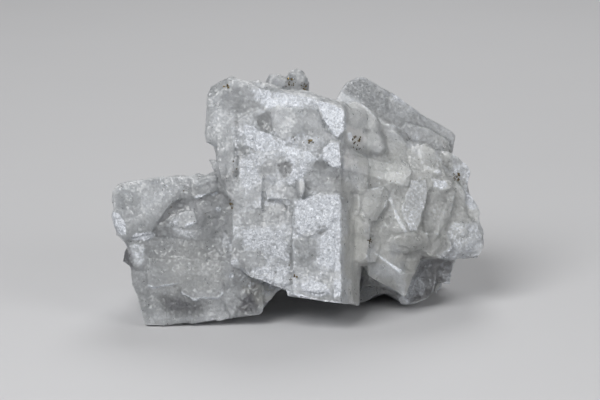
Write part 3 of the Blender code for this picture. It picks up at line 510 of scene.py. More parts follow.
class Graph:
    """One material's nodes."""

    def __init__(self, name: str) -> None:
        """Start an empty material."""
        self.material = bpy.data.materials.new(name)
        self.material.use_nodes = True
        self.tree = self.material.node_tree
        self.tree.nodes.clear()
        self.output = self.add("ShaderNodeOutputMaterial", {}, {})
        self.object_places = self.add("ShaderNodeTexCoord", {}, {}).outputs["Object"]

    def add(
        self, kind: str, settings: dict[str, Any], inputs: dict[str | int, Any]
    ) -> bpy.types.Node:
        """Add a node, set it up and join its sockets.

        Args:
            kind: The node's type.
            settings: Properties, which are set first.
            inputs: Sockets by name or number, as a Value, a socket or a constant.

        Returns:
            The new node.
        """
        node = self.tree.nodes.new(kind)
        for name, setting in settings.items():
            setattr(node, name, setting)
        for key, given in inputs.items():
            socket = node.inputs[key]
            if isinstance(given, Value):
                given = given.socket
            if isinstance(given, bpy.types.NodeSocket):
                self.tree.links.new(given, socket)
            elif isinstance(given, tuple) and socket.type == "RGBA":
                socket.default_value = (*given, 1.0)
            else:
                socket.default_value = given
        return node

    def maths(self, operation: str, *terms: "Value | float") -> Value:
        """A Math node on values and numbers."""
        inputs = dict(enumerate(terms))
        node = self.add("ShaderNodeMath", {"operation": operation}, inputs)
        return Value(self, node.outputs[0])

    def vector(self, operation: str, *terms: Any, scale: float = 1.0) -> Any:
        """A Vector Math node.

        Args:
            operation: What it does.
            *terms: Vector sockets or constants.
            scale: The factor of a SCALE.

        Returns:
            The new vector's socket.
        """
        inputs: dict[str | int, Any] = dict(enumerate(terms))
        if operation == "SCALE":
            inputs["Scale"] = scale
        node = self.add("ShaderNodeVectorMath", {"operation": operation}, inputs)
        return node.outputs[0]

    def attribute(self, name: str) -> Value:
        """A number stored on the mesh."""
        node = self.add("ShaderNodeAttribute", {"attribute_name": name}, {})
        return Value(self, node.outputs["Fac"])

    def noise(self, size: float, detail: float = 3.0, uneven: float = 0.55) -> Value:
        """Cloudy noise.

        Args:
            size: Size of the largest clouds, in millimetres.
            detail: How many finer layers it has.
            uneven: How strong the finer layers are.

        Returns:
            A value from about 0.25 to 0.75.
        """
        node = self.add(
            "ShaderNodeTexNoise",
            {},
            {
                "Vector": self.object_places,
                "Scale": 1 / (size * MM),
                "Detail": detail,
                "Roughness": uneven,
            },
        )
        return Value(self, node.outputs[0])

    def grains(self, size: float) -> bpy.types.NodeSocket:
        """A random colour for each grain of a size in millimetres."""
        inputs = {"Vector": self.object_places, "Scale": 1 / (size * MM)}
        return self.add("ShaderNodeTexVoronoi", {}, inputs).outputs["Color"]

    def blend(self, mask: Value, one: Any, other: Any) -> bpy.types.NodeSocket:
        """A colour that goes from one to other as mask goes from 0 to 1."""
        inputs = {0: mask, 6: one, 7: other}
        return self.add("ShaderNodeMix", {"data_type": "RGBA"}, inputs).outputs[2]

    def bump(self, height: Value, depth: float) -> bpy.types.NodeSocket:
        """A normal bumped by a relief from 0 to 1, depth millimetres high."""
        inputs = {"Height": height, "Distance": depth * MM, "Strength": 1.0}
        return self.add("ShaderNodeBump", {}, inputs).outputs["Normal"]

    def principled(self, **inputs: Any) -> bpy.types.NodeSocket:
        """A Principled shader; underscores in names stand for spaces."""
        named = {name.replace("_", " "): given for name, given in inputs.items()}
        return self.add("ShaderNodeBsdfPrincipled", {}, named).outputs[0]

    def mix_shaders(self, mask: Value, one: Any, other: Any) -> bpy.types.NodeSocket:
        """A shader that goes from one to other as mask goes from 0 to 1."""
        inputs = {0: mask, 1: one, 2: other}
        return self.add("ShaderNodeMixShader", {}, inputs).outputs[0]

    def finish(self, shader: bpy.types.NodeSocket) -> bpy.types.Material:
        """Join the last shader to the surface."""
        self.tree.links.new(shader, self.output.inputs["Surface"])
        return self.material


# ----------------------------------------------------------------------------- finishes

@dataclass(frozen=True)
class Relief:
    """Fine relief: its depth, the size of its grains and how far they turn."""

    depth_mm: float
    grain_mm: float
    tilt: float

    def build(self, g: Graph, height: Value) -> bpy.types.NodeSocket:
        """A bumped normal that turns at random from grain to grain.

        Args:
            g: The material's graph.
            height: The relief's height, from 0 to 1.

        Returns:
            The normal's socket.
        """
        turned = g.vector("SUBTRACT", g.grains(self.grain_mm), (MIDDLE, MIDDLE, MIDDLE))
        turned = g.vector("SCALE", turned, scale=2 * self.tilt)
        bumped = g.bump(height, self.depth_mm)
        return g.vector("NORMALIZE", g.vector("ADD", bumped, turned))


@dataclass(frozen=True)
class BariteFinish:
    """Milky barite with frosted, clear, warm and stained places.

    Its colours come first, then sizes in millimetres, then where each mask begins and
    is full, and then strengths. Its standing-out edges are painted lighter, as painted
    light, and its hollows greyer, as painted shade.
    """

    milky: Colour = (0.69, 0.707, 0.73)
    grey: Colour = (0.51, 0.53, 0.545)
    frost: Colour = (0.735, 0.765, 0.815)
    dull_frost: Colour = (0.415, 0.435, 0.47)
    veiled: Colour = (0.64, 0.645, 0.64)
    clear: Colour = (0.60, 0.572, 0.645)
    warm: Colour = (0.56, 0.56, 0.525)
    stain: Colour = (0.20, 0.165, 0.085)
    cloud_mm: float = 7.0
    veil_mm: float = 1.7
    curl_mm: float = 0.9
    fine_mm: float = 0.5
    speck_mm: float = 0.26
    scatter_mm: Colour = (4.2, 4.2, 4.3)
    frost_scatter_mm: Colour = (0.6, 0.6, 0.6)
    body_relief: Relief = Relief(0.12, 0.45, 0.24)
    frost_relief: Relief = Relief(0.16, 0.38, 0.42)
    glass_relief: Relief = Relief(0.10, 0.45, 0.18)
    edges: Span = (0.56, 0.78)
    flats: Span = (0.28, 0.46)
    torn_rime: Span = (0.40, 0.64)
    whole_rime: Span = (0.15, 0.58)
    windows: Span = (0.20, 1.00)
    stained: Span = (1.4, 1.9)
    torn_share: float = 0.42
    frost_scatter: float = 0.5
    frost_roughness: float = 0.36
    refraction: float = 1.64
    warmth: float = 0.85
    # how far hollows are greyed, as painted shade
    hollow_painted_shade: float = 0.3
    body_stain: float = 0.75
    frost_stain: float = 0.5
    body_contrast: float = 2.6
    frost_level: float = 0.82
    least_clarity: float = 0.34

    def build(self) -> bpy.types.Material:
        """The material, which reads what the mesh says of each place."""
        g = Graph("barite")
        clouds = g.noise(self.cloud_mm, 3.0)
        veils = g.noise(self.veil_mm, 4.0, 0.62)
        fine = g.noise(self.fine_mm, 3.0, 0.65)
        speck = g.noise(self.speck_mm, 1.0, 0.5)
        curls = g.noise(self.curl_mm, 2.0, 0.5)
        curls = 1.0 - g.maths("ABSOLUTE", (curls - MIDDLE) * 9.0)
        curls = g.maths("MAXIMUM", curls, 0.0)

        edge = g.attribute("edge").ramp(*self.edges)
        hollow = 1.0 - g.attribute("edge").ramp(*self.flats)
        torn = (veils - MIDDLE) * 1.1 + (fine - MIDDLE) * 1.2 + (curls - 0.35) * 0.35
        rime = g.attribute("frost") + edge * 0.2 - hollow * 0.25
        frost = (rime + torn).ramp(*self.torn_rime) * self.torn_share
        whole = (rime + torn * 0.3).ramp(*self.whole_rime)
        frost = frost + whole * (1.0 - self.torn_share)
        clear = (g.attribute("clear") + (veils - MIDDLE) * 0.5).ramp(*self.windows)
        warm = (g.attribute("warm") + (veils - MIDDLE) * 0.5).ramp(0.0, 1.0)
        stain = g.attribute("stain") * 1.4 + (fine - MIDDLE) * 3.2
        stain = (stain + (speck - MIDDLE) * 1.2).ramp(*self.stained)
        tone = (clouds - MIDDLE) * 1.5 + (veils - MIDDLE) * 0.8
        tone = (tone + (fine - MIDDLE) * 0.4 + MIDDLE).ramp(0.0, 1.0)
        # the tone attribute holds the layers' own tone and, on some layers, painted
        # highlights, glow and shade
        lighter = g.attribute("tone") - MIDDLE

        colour = g.blend(tone, self.grey, self.milky)
        colour = g.blend(warm * self.warmth, colour, self.warm)
        # painted shade: hollows between parts are blended towards grey, as the shade that
        # falls in them
        colour = g.blend(hollow * (1.0 - warm) * self.hollow_painted_shade, colour, self.grey)
        # painted light: standing-out edges are made lighter, as a painted glow of light
        # through thin rims; the tone attribute adds the layers' painted light and shade
        level = 1.0 + lighter * self.body_contrast + (speck - MIDDLE) * 0.7 + edge * 0.36
        colour = g.vector("SCALE", colour, scale=level)
        colour = g.blend(stain * self.body_stain, colour, self.stain)
        bright = (fine * 1.3 + veils * 0.8 + curls * 0.25 - 0.55).ramp(0.0, 1.0)
        white = g.blend(bright, self.dull_frost, self.frost)
        shade = self.frost_level + lighter * 1.0 + (speck - MIDDLE) * 0.9
        white = g.vector("SCALE", white, scale=shade)
        white = g.blend(stain * self.frost_stain, white, self.stain)

        body = g.principled(
            Base_Color=colour,
            Roughness=fine * 0.4 + 0.25,
            IOR=self.refraction,
            Subsurface_Weight=1.0,
            Subsurface_Radius=self.scatter_mm,
            Subsurface_Scale=MM,
            Normal=self.body_relief.build(g, veils * 0.5 + fine * 0.5),
        )
        frosted = g.principled(
            Base_Color=white,
            Roughness=self.frost_roughness,
            IOR=self.refraction,
            Subsurface_Weight=self.frost_scatter,
            Subsurface_Radius=self.frost_scatter_mm,
            Subsurface_Scale=MM,
            Normal=self.frost_relief.build(g, fine),
        )
        glass = g.principled(
            Base_Color=g.blend(clear, self.veiled, self.clear),
            Roughness=veils * 0.3 + 0.17,
            IOR=self.refraction,
            Transmission_Weight=1.0,
            Normal=self.glass_relief.build(g, veils),
        )
        clarity = clear * 0.30 + (1.0 - tone) * 0.30 + self.least_clarity
        solid = g.mix_shaders(clarity, body, glass)
        return g.finish(g.mix_shaders(frost, solid, frosted))


@dataclass(frozen=True)
class PyriteFinish:
    """Dull brassy pyrite, tarnished brown in its hollows."""

    brass: Colour = (0.27, 0.215, 0.115)
    tarnish: Colour = (0.055, 0.042, 0.026)
    tarnish_mm: float = 0.35
    relief_mm: float = 0.12
    relief_depth_mm: float = 0.03

    def build(self) -> bpy.types.Material:
        """The material."""
        g = Graph("pyrite")
        tarnished = g.noise(self.tarnish_mm, 3.0, 0.6).ramp(0.42, 0.62)
        colour = g.blend(tarnished, self.brass, self.tarnish)
        normal = g.bump(g.noise(self.relief_mm, 3.0), self.relief_depth_mm)
        shader = g.principled(
            Base_Color=colour,
            Metallic=1.0 - tarnished * 0.5,
            Roughness=tarnished * 0.35 + 0.22,
            Normal=normal,
        )
        return g.finish(shader)


@dataclass(frozen=True)
class FloorFinish:
    """Plain pale studio paper."""

    colour: Colour = (0.54, 0.54, 0.55)
    unevenness: float = 0.98
    cloud_mm: float = 60.0
    roughness: float = 0.85

    def build(self) -> bpy.types.Material:
        """The material."""
        g = Graph("paper")
        darker = tuple(self.unevenness * part for part in self.colour)
        tone = g.blend(g.noise(self.cloud_mm, 2.0), self.colour, darker)
        return g.finish(g.principled(Base_Color=tone, Roughness=self.roughness))


# --------------------------------------------------------------------------- the barite

PRESSED = (
    Zone(0.5, ((Axis.ACROSS, 12.0, 16.0), (Axis.UP, 14.0, 18.0), (Axis.BACK, 5.0, -1.0))),
    Zone(
        0.65,
        (
            (Axis.ACROSS, -47.0, -43.0), (Axis.ACROSS, -16.5, -19.0),
            (Axis.UP, 4.0, 8.0), (Axis.UP, 37.0, 33.0), (Axis.BACK, -12.0, -16.0),
        ),
    ),
)
CALMED = (
    Zone(0.75, ((Axis.BACK, 2.0, 6.0), (Axis.ACROSS, 6.0, 10.0), (Axis.UP, 36.0, 42.0))),
    Zone(0.75, ((Axis.BACK, -6.0, -12.0), (Axis.ACROSS, -21.0, -24.0))),
    Zone(0.6, ((Axis.ACROSS, 11.0, 14.0), (Axis.BACK, 6.0, 2.0))),
)
ROUGHENED = Zone(0.9, ((Axis.BACK, 4.0, 9.0),))
UNSEEN = Zone(1.0, ((Axis.BACK, -10.0, -4.0),))


@dataclass
class BariteCluster:
    """The intergrown barite crystals, as one worked mesh.

    A Span says where something begins and where it is full.
    """

    node: str = "barite_cluster"
    slot: str = "barite"
    weld: float = 1e-6
    voxel_mm: float = 0.30
    quick_coarser: float = 1.8
    most_triangles: int = 196_000
    front_share: float = 2.2
    front_bands: int = 8
    front_upward: float = 0.4
    front_turned: Span = (-0.3, 0.3)
    smooth_angle_deg: float = 32.0
    heal_margin_mm: float = 0.9
    heal_core: float = 0.75
    heal_rounds: int = 250
    press_rounds: int = 140
    terrace_wave_mm: float = 9.0
    terrace_step_mm: float = 0.14
    terraces_a_wave: float = 4.0
    terrace_riser: Span = (0.42, 0.58)
    block_mm: float = 5.5
    block_step_mm: float = 0.12
    block_bend: float = 0.5
    plate_share: float = 0.45
    plate_step_share: float = 0.5
    etched_area_mm: float = 8.0
    etched_area: Span = (0.1, 0.7)
    least_etched: float = 0.08
    grain_mm: float = 0.8
    grain_step_mm: float = 0.11
    grain_tilt: float = 0.8
    grain_rise: float = 0.5
    plateau_mm: float = 0.07
    plateau: Span = (0.45, 0.60)
    edge_gain: float = 5.0
    edge_rounds: int = 3
    bite_mm: float = 1.6
    nick_mm: float = 2.2
    chip_mm: float = 0.30
    chip_depth: float = 0.35
    chip_by_bites: float = 0.45
    chip_by_nicks: float = 0.5
    calm_chips: float = 0.4
    stand_off_mm: float = 750.0
    front_y_mm: float = 18.0
    eye_level_mm: float = 31.25
    facing: Span = (0.05, 0.45)
    layer_waver_mm: float = 0.22
    layer_wave_mm: float = 1.6
    patch_waver: float = 0.35
    patch_wave_mm: float = 4.5
    rime_drift_mm: float = 9.0
    rime_drift: Span = (-0.2, 0.5)
    unseen_rime: float = 0.18
    drifted_rime: float = 0.40
    unseen_tone: float = 0.05
    stain_reach: Span = (0.1, 1.0)

    def build(self, pyrite_nodes: list[str]) -> bpy.types.Object:
        """Make the barite piece.

        Args:
            pyrite_nodes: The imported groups, whose hollows are part filled.

        Returns:
            The finished piece, in its place.
        """
        piece = self._copy_of_solid()
        piece = self._fill_clefts(piece)
        self._remesh(piece)
        self._heal(piece.data, pyrite_nodes)
        self._flatten(piece.data)
        self._work(piece.data)
        self._thin(piece)
        self._mark(piece.data, pyrite_nodes)
        Bench.only(piece)
        bpy.ops.object.shade_smooth_by_angle(angle=math.radians(self.smooth_angle_deg))
        piece.data.materials.clear()
        piece.data.materials.append(BariteFinish().build())
        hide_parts(self.node)
        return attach(piece, "root")

    def _copy_of_solid(self) -> bpy.types.Object:
        """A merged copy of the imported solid."""
        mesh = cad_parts[self.node].data.copy()
        piece = Bench.new_object("barite_crystals", mesh)
        Bench.only(piece)
        bpy.ops.object.mode_set(mode="EDIT")
        bpy.ops.mesh.select_all(action="SELECT")
        bpy.ops.mesh.remove_doubles(threshold=self.weld)
        bpy.ops.object.mode_set(mode="OBJECT")
        return piece

    def _fill_clefts(self, piece: bpy.types.Object) -> bpy.types.Object:
        """Bring the floors of deep clefts up with veins and a packing of barite."""
        parts = [piece, CleftPacking().build(piece)]
        parts += [vein.build() for vein in VEINS]
        return Bench.join(parts, piece.name)

    def _remesh(self, piece: bpy.types.Object) -> None:
        """Turn the joined shapes into one even skin."""
        coarse = 1.0
        size = self.voxel_mm * coarse * MM
        Bench.apply(piece, "REMESH", mode="VOXEL", voxel_size=size)

    def _heal(self, mesh: bpy.types.Mesh, pyrite_nodes: list[str]) -> None:
        """Close the hollows round the pyrite, so that the grains sit in the skin."""
        near = Neighbours(mesh)
        world = vertex_places(mesh)
        for name in pyrite_nodes:
            low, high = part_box(name)
            reach = (high - low).length * 0.5 + self.heal_margin_mm * MM
            away = np.linalg.norm(world - np.array((low + high) / 2), axis=1)
            weight = 1.0 - smooth_step(away, self.heal_core * reach, reach)
            near.shrink(world, weight, self.heal_rounds)
        move_vertices(mesh, world)

    def _flatten(self, mesh: bpy.types.Mesh) -> None:
        """Press the steps of the fan and the tablet shallower, so that they look fused."""
        near = Neighbours(mesh)
        world = vertex_places(mesh)
        places = GROWTH.from_world(world)
        back = places[:, Axis.BACK]
        pressed = near.blurred(back, self.press_rounds) - back
        shift = sum(zone.share(places) for zone in PRESSED) * pressed * MM
        move_vertices(mesh, world + shift[:, None] * np.array(GROWTH.ahead()))

    def _work(self, mesh: bpy.types.Mesh) -> None:
        """Raise growth layers and cleavage steps, etch hollows and chip edges."""
        world = vertex_places(mesh)
        normals = vertex_directions(mesh)
        places = GROWTH.from_world(world)
        calm = self._calm(places)
        outward = self._sharpness(world, normals, Neighbours(mesh))
        marks = self._markings(places, normals)
        height = (self._layers(places) + self._etching(places, marks["frost"])) * calm
        height += marks["lift"]
        chipped = self.calm_chips + (1.0 - self.calm_chips) * calm
        height -= self._chips(places, outward) * chipped
        move_vertices(mesh, world + normals * (height * MM)[:, None])
        self._stand(mesh)

    def _stand(self, mesh: bpy.types.Mesh) -> None:
        """Keep the underside level where it rests."""
        world = vertex_places(mesh)
        world[:, 2] = np.maximum(world[:, 2], 0.0)
        move_vertices(mesh, world)

    def _markings(self, places: np.ndarray, normals: np.ndarray) -> dict[str, np.ndarray]:
        """What the layers and patches say of each place.

        Args:
            places: Growth millimetres, shape (n, 3).
            normals: World normals.

        Returns:
            The lift in millimetres, the tone, which also holds the layers' painted
            light and shade, and the frost, clear and warm shares.
        """
        facing = smooth_step(-GROWTH.directions(normals)[:, Axis.BACK], *self.facing)
        depth = places[:, Axis.BACK]
        away = self.stand_off_mm / (self.stand_off_mm + self.front_y_mm + depth)
        aim = (0.0, self.eye_level_mm)
        seen = (places[:, [Axis.ACROSS, Axis.UP]] - aim) * away[:, None] + aim
        ragged = self.layer_waver_mm * LAYER_BORDERS.rough(places, self.layer_wave_mm)
        coarse = self.patch_waver * PATCH_BORDERS.rough(places, self.patch_wave_mm, 4)
        marks = {
            "lift": np.zeros(len(places)),
            "tone": np.zeros(len(places)),
            "frost": strongest(FROSTED, places, coarse),
            "clear": strongest(CLEAR, places, coarse),
            "warm": strongest(WARM, places, coarse),
        }
        for layer in LAYERS:
            share = layer.cover(seen, depth, ragged) * facing
            marks["lift"] += layer.lift * share
            # layer tones include painted highlights, glow and shade as well as real tone
            marks["tone"] += layer.tone * share
            marks["frost"] += min(layer.frost, 0.0) * share
            marks["frost"] = np.maximum(marks["frost"], layer.frost * share)
            marks["clear"] = np.maximum(marks["clear"], layer.clear * share)
        unseen = np.maximum(1.0 - facing, UNSEEN.share(places))
        drift = RIME_DRIFTS.rough(places, self.rime_drift_mm, 4)
        rime = self.unseen_rime + self.drifted_rime * smooth_step(drift, *self.rime_drift)
        marks["frost"] = np.maximum(marks["frost"], rime * unseen)
        marks["tone"] += self.unseen_tone * unseen
        return marks

    def _sharpness(
        self, world: np.ndarray, normals: np.ndarray, near: Neighbours
    ) -> np.ndarray:
        """How far each place stands out as an edge, from 0 to about 1."""
        bulge = near.standing_out(world, normals) / (self.voxel_mm * MM)
        return near.blurred(np.clip(bulge * self.edge_gain, 0.0, 1.0), self.edge_rounds)

    def _layers(self, places: np.ndarray) -> np.ndarray:
        """Growth terraces and blocky cleavage steps, in millimetres."""
        wave = TERRACE_WAVES.rough(places, self.terrace_wave_mm, 4)
        level = wave * self.terraces_a_wave
        floor = np.floor(level)
        terraces = floor + smooth_step(level - floor, *self.terrace_riser)
        bent = places + self.block_bend * wave[:, None]
        blocks = STEP_BLOCKS.blocks(bent, self.block_mm, Cell.SQUARE)
        plates = STEP_PLATES.blocks(bent, self.block_mm * self.plate_share, Cell.SQUARE)
        return (
            terraces * self.terrace_step_mm
            + blocks[:, 0] * self.block_step_mm
            + plates[:, 0] * self.block_step_mm * self.plate_step_share
        )

    def _etching(self, places: np.ndarray, frost: np.ndarray) -> np.ndarray:
        """The sugary etched relief and the frosted plateaus, in millimetres."""
        areas = ETCHED_AREAS.rough(places, self.etched_area_mm)
        etched = np.maximum(frost, smooth_step(areas, *self.etched_area))
        amount = self.least_etched + (1.0 - self.least_etched) * etched
        grains = SUGAR_GRAINS.blocks(places, self.grain_mm, Cell.ROUND)
        sugar = grains[:, 1] * self.grain_tilt + grains[:, 0] * self.grain_rise
        sugar = sugar * self.grain_step_mm * amount
        return sugar + self.plateau_mm * smooth_step(frost, *self.plateau)

    def _chips(self, places: np.ndarray, outward: np.ndarray) -> np.ndarray:
        """How deep the edges are chipped, in millimetres."""
        bites = CHIP_BITES.blocks(places, self.bite_mm, Cell.ROUND)[:, 0]
        nicks = CHIP_NICKS.rough(places, self.nick_mm)
        depth = self.chip_depth + self.chip_by_bites * bites + self.chip_by_nicks * nicks
        return np.clip(depth, 0.0, 1.0) * outward * self.chip_mm

    def _calm(self, places: np.ndarray) -> np.ndarray:
        """How strongly each place is worked: less on smooth crystals, more behind."""
        calm = np.zeros(len(places))
        for zone in CALMED:
            calm = np.maximum(calm, zone.share(places))
        return (1.0 - calm) * (1.0 + ROUGHENED.share(places))

    def _thin(self, piece: bpy.types.Object) -> None:
        """Bring the mesh under its limit, with more of it kept in front."""
        mesh = piece.data
        normals = GROWTH.directions(vertex_directions(mesh))
        forward = -normals[:, Axis.BACK] + self.front_upward * normals[:, Axis.UP]
        facing = smooth_step(forward, *self.front_turned)
        group = piece.vertex_groups.new(name="front")
        bands = np.round(facing * self.front_bands).astype(int)
        for band in range(1, self.front_bands + 1):
            members = np.flatnonzero(bands == band).tolist()
            group.add(members, band / self.front_bands, "REPLACE")
        triangles = sum(len(p.vertices) - 2 for p in mesh.polygons)
        Bench.apply(
            piece,
            "DECIMATE",
            ratio=min(1.0, self.most_triangles / triangles),
            vertex_group=group.name,
            vertex_group_factor=self.front_share,
            invert_vertex_group=True,
        )
        piece.vertex_groups.clear()
        self._stand(mesh)

    def _mark(self, mesh: bpy.types.Mesh, pyrite_nodes: list[str]) -> None:
        """Store where the barite is frosted, clear, warm and stained."""
        places = GROWTH.from_world(vertex_places(mesh))
        marks = self._markings(places, vertex_directions(mesh))
        # the tone holds the layers' painted light and shade as well as their own tone
        marks["tone"] = marks["tone"] + MIDDLE
        marks["stain"] = self._stains(places, pyrite_nodes)
        # the material paints standing-out edges lighter and hollows greyer from this, as
        # painted light and shade
        marks["edge"] = MIDDLE + self._bulge(mesh)
        del marks["lift"]
        for name, values in marks.items():
            layer = mesh.attributes.new(name, "FLOAT", "POINT")
            layer.data.foreach_set("value", np.clip(values, 0, 1).astype(np.float32))

    def _bulge(self, mesh: bpy.types.Mesh) -> np.ndarray:
        """How far each vertex stands out from its neighbours, to their distance."""
        near = Neighbours(mesh)
        world = vertex_places(mesh)
        out = near.standing_out(world, vertex_directions(mesh))
        length = np.linalg.norm(world[near.first] - world[near.second], axis=1)
        both = np.bincount(near.first, length, near.count)
        both += np.bincount(near.second, length, near.count)
        return near.blurred(out / (both / near.degree), 1)

    def _stains(self, places: np.ndarray, pyrite_nodes: list[str]) -> np.ndarray:
        """Brown stains round the pyrite."""
        stain = np.zeros(len(places))
        core, rim = self.stain_reach
        for name in pyrite_nodes:
            low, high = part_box(name)
            middle = GROWTH.from_world(np.array([(low + high) / 2]))[0]
            reach = np.linalg.norm(places - middle, axis=1)
            size = (high - low).length / MM
            stain = np.maximum(stain, 1.0 - smooth_step(reach, core * size, rim * size))
        return stain


@dataclass(frozen=True)
class Layer:
    """A thin growth layer, hollow or marking, by its outline as seen from the front.

    Attributes:
        name: What it is.
        outline: Its corners, across and up.
        lift: How far it stands up, or lies sunk where negative, in millimetres.
        tone: How much lighter or darker it is; on some layers this is painted light
        or shade, such as highlights and glow on ridges and rims, or shade under
        ledges and in grooves.
        frost: How frosted it is, from 0 to 1, or how bare where negative.
        clear: How clear it is, from 0 to 1.
        soft: Width of its border.
        near: The smallest y that it lies at.
        deepest: The largest y that it lies at.
        waver: The most that its border is shifted by.
    """

    name: str
    outline: tuple[tuple[float, float], ...]
    lift: float = 0.0
    tone: float = 0.0
    frost: float = 0.0
    clear: float = 0.0
    soft: float = 0.2
    near: float = -34.0
    deepest: float = 2.0
    waver: float = 1.0

    @classmethod
    def drawn(cls, name: str, *corners: float, **settings: float) -> "Layer":
        """A layer by its name and by its corners' x and z in turn."""
        return cls(name, tuple(zip(corners[::2], corners[1::2])), **settings)

    def cover(
        self, seen: np.ndarray, depth: np.ndarray, ragged: np.ndarray
    ) -> np.ndarray:
        """How far each place is under the layer, from 0 to 1.

        Args:
            seen: Places as seen from the front, across and up.
            depth: Their y.
            ragged: How far the border is shifted at each place, in millimetres.

        Returns:
            One share for each place.
        """
        corners = np.array(self.outline)
        margin = self.soft + self.waver
        low, high = corners.min(axis=0) - margin, corners.max(axis=0) + margin
        close = ((seen > low) & (seen < high)).all(axis=1)
        close &= (depth > self.near) & (depth < self.deepest)
        chosen = np.flatnonzero(close)
        share = np.zeros(len(seen))
        if len(chosen):
            inside = self._inside(seen[chosen], corners) + ragged[chosen]
            share[chosen] = smooth_step(inside, -self.soft, self.soft)
        return share

    @staticmethod
    def _inside(points: np.ndarray, corners: np.ndarray) -> np.ndarray:
        """Distance to the outline, positive inside it."""
        nearest = np.full(len(points), np.inf)
        within = np.zeros(len(points), bool)
        for start, end in zip(corners, np.roll(corners, -1, axis=0)):
            side = end - start
            away = points - start
            along = np.clip(away @ side / max(side @ side, 1e-9), 0.0, 1.0)
            gap = np.linalg.norm(away - along[:, None] * side, axis=1)
            nearest = np.minimum(nearest, gap)
            straddles = (start[1] > points[:, 1]) != (end[1] > points[:, 1])
            rise = side[1] if side[1] else 1e-9
            crossing = start[0] + side[0] * (points[:, 1] - start[1]) / rise
            within ^= straddles & (points[:, 0] < crossing)
        return np.where(within, nearest, -nearest)


@dataclass(frozen=True)
class CleftPacking:
    """Barite that part fills the narrow clefts seen from the front.

    The front is sounded on a grid along the growth frame's y. Clefts narrower than
    the reach are closed, and the packing's face lies at a share of their depth.

    Attributes:
        spacing: The grid's spacing, in millimetres.
        reach: Half the width of the widest cleft that is closed.
        deepest: The most that a cleft is filled.
        under: How far under the skin the packing lies where nothing is filled.
        thick: The packing's thickness.
        steepest: The largest step in depth that it spans.
        least: The least filling that is kept.
        across: Where the grid begins and ends, across.
        up: Where it begins and ends, up.
        in_fan: How full the fan's clefts are.
        in_tablet: How full the left tablet's are.
        elsewhere: How full the others are, above the foot.
        foot: How high the foot reaches.
    """

    spacing: float = 0.35
    reach: float = 2.8
    deepest: float = 6.0
    under: float = 0.32
    thick: float = 1.2
    steepest: float = 3.0
    least: float = 0.1
    across: tuple[float, float] = (-48.0, 48.0)
    up: tuple[float, float] = (1.5, 64.0)
    in_fan: float = 0.96
    in_tablet: float = 0.8
    elsewhere: float = 0.45
    foot: float = 6.0

    def build(self, piece: bpy.types.Object) -> bpy.types.Object:
        """Model the packing for a piece."""
        across = np.arange(*self.across, self.spacing)
        up = np.arange(*self.up, self.spacing)
        near = self._sound(piece, across, up)
        closed = self._closed(near)
        x, z = np.meshgrid(across, up, indexing="ij")
        share = self._share(x, z)
        filled = np.minimum(closed - near, self.deepest) * share
        raised = np.where(filled > self.least, filled + self.under, 0.0)
        return self._skin(x, z, near - self.under + raised, near > -np.inf)

    def _sound(
        self, piece: bpy.types.Object, across: np.ndarray, up: np.ndarray
    ) -> np.ndarray:
        """How near the front each grid line meets the piece; -inf where it misses."""
        tree = BVHTree.FromObject(piece, bpy.context.evaluated_depsgraph_get())
        ahead = GROWTH.ahead()
        near = np.full((len(across), len(up)), -np.inf)
        for i, x in enumerate(across):
            for k, z in enumerate(up):
                start = GROWTH.to_world((x, -SOUNDING_START_MM, z))
                hit, _, _, far = tree.ray_cast(start, ahead)
                if hit is not None:
                    near[i, k] = SOUNDING_START_MM - far / MM
        return near

    def _closed(self, near: np.ndarray) -> np.ndarray:
        """The sounding with its narrow clefts closed."""
        cells = int(self.reach / self.spacing)
        disc = [
            (i, k)
            for i in range(-cells, cells + 1)
            for k in range(-cells, cells + 1)
            if i * i + k * k <= cells * cells
        ]
        raised = self._swept(near, disc, cells, np.maximum, -np.inf)
        return self._swept(raised, disc, cells, np.minimum, np.inf)

    @staticmethod
    def _swept(
        values: np.ndarray,
        disc: list[tuple[int, int]],
        edge: int,
        keep: Callable[[np.ndarray, np.ndarray], np.ndarray],
        outside: float,
    ) -> np.ndarray:
        """The largest or smallest value within a disc round each cell."""
        padded = np.pad(values, edge, constant_values=outside)
        result = values.copy()
        wide, high = values.shape
        for i, k in disc:
            shifted = padded[edge + i : edge + i + wide, edge + k : edge + k + high]
            result = keep(result, shifted)
        return result

    def _share(self, x: np.ndarray, z: np.ndarray) -> np.ndarray:
        """How full the clefts are in each part."""
        fan = smooth_step(x, 12.0, 15.0) * smooth_step(z, 11.0, 15.0) * self.in_fan
        tablet = smooth_step(x, -16.5, -18.5) * self.in_tablet
        return np.maximum(np.maximum(fan, tablet), self.elsewhere * (z > self.foot))

    def _skin(
        self, x: np.ndarray, z: np.ndarray, face: np.ndarray, solid: np.ndarray
    ) -> bpy.types.Object:
        """A closed slab whose front is the packing's face."""
        number = np.full(face.shape, -1)
        number[solid] = np.arange(solid.sum())
        front = np.column_stack([x[solid], -face[solid], z[solid]])
        count = len(front)
        back = front + (0.0, self.thick, 0.0)
        corners = [number[:-1, :-1], number[1:, :-1], number[1:, 1:], number[:-1, 1:]]
        cells = np.stack([c.ravel() for c in corners], axis=1)
        cells = cells[(cells >= 0).all(axis=1)]
        depth = front[cells, 1]
        cells = cells[depth.max(axis=1) - depth.min(axis=1) < self.steepest]
        steps = np.stack([cells, np.roll(cells, -1, axis=1)], axis=2).reshape(-1, 2)
        keys = {tuple(pair) for pair in steps.tolist()}
        rims = [(a, b) for a, b in keys if (b, a) not in keys]
        faces = [tuple(c) for c in cells.tolist()]
        faces += [tuple(v + count for v in reversed(c)) for c in faces]
        faces += [(b, a, a + count, b + count) for a, b in rims]
        mesh = bpy.data.meshes.new("packing")
        places = np.vstack([front, back])
        mesh.from_pydata(places.tolist(), [], faces)
        mesh.transform(GROWTH.matrix())
        return Bench.new_object("packing", mesh)


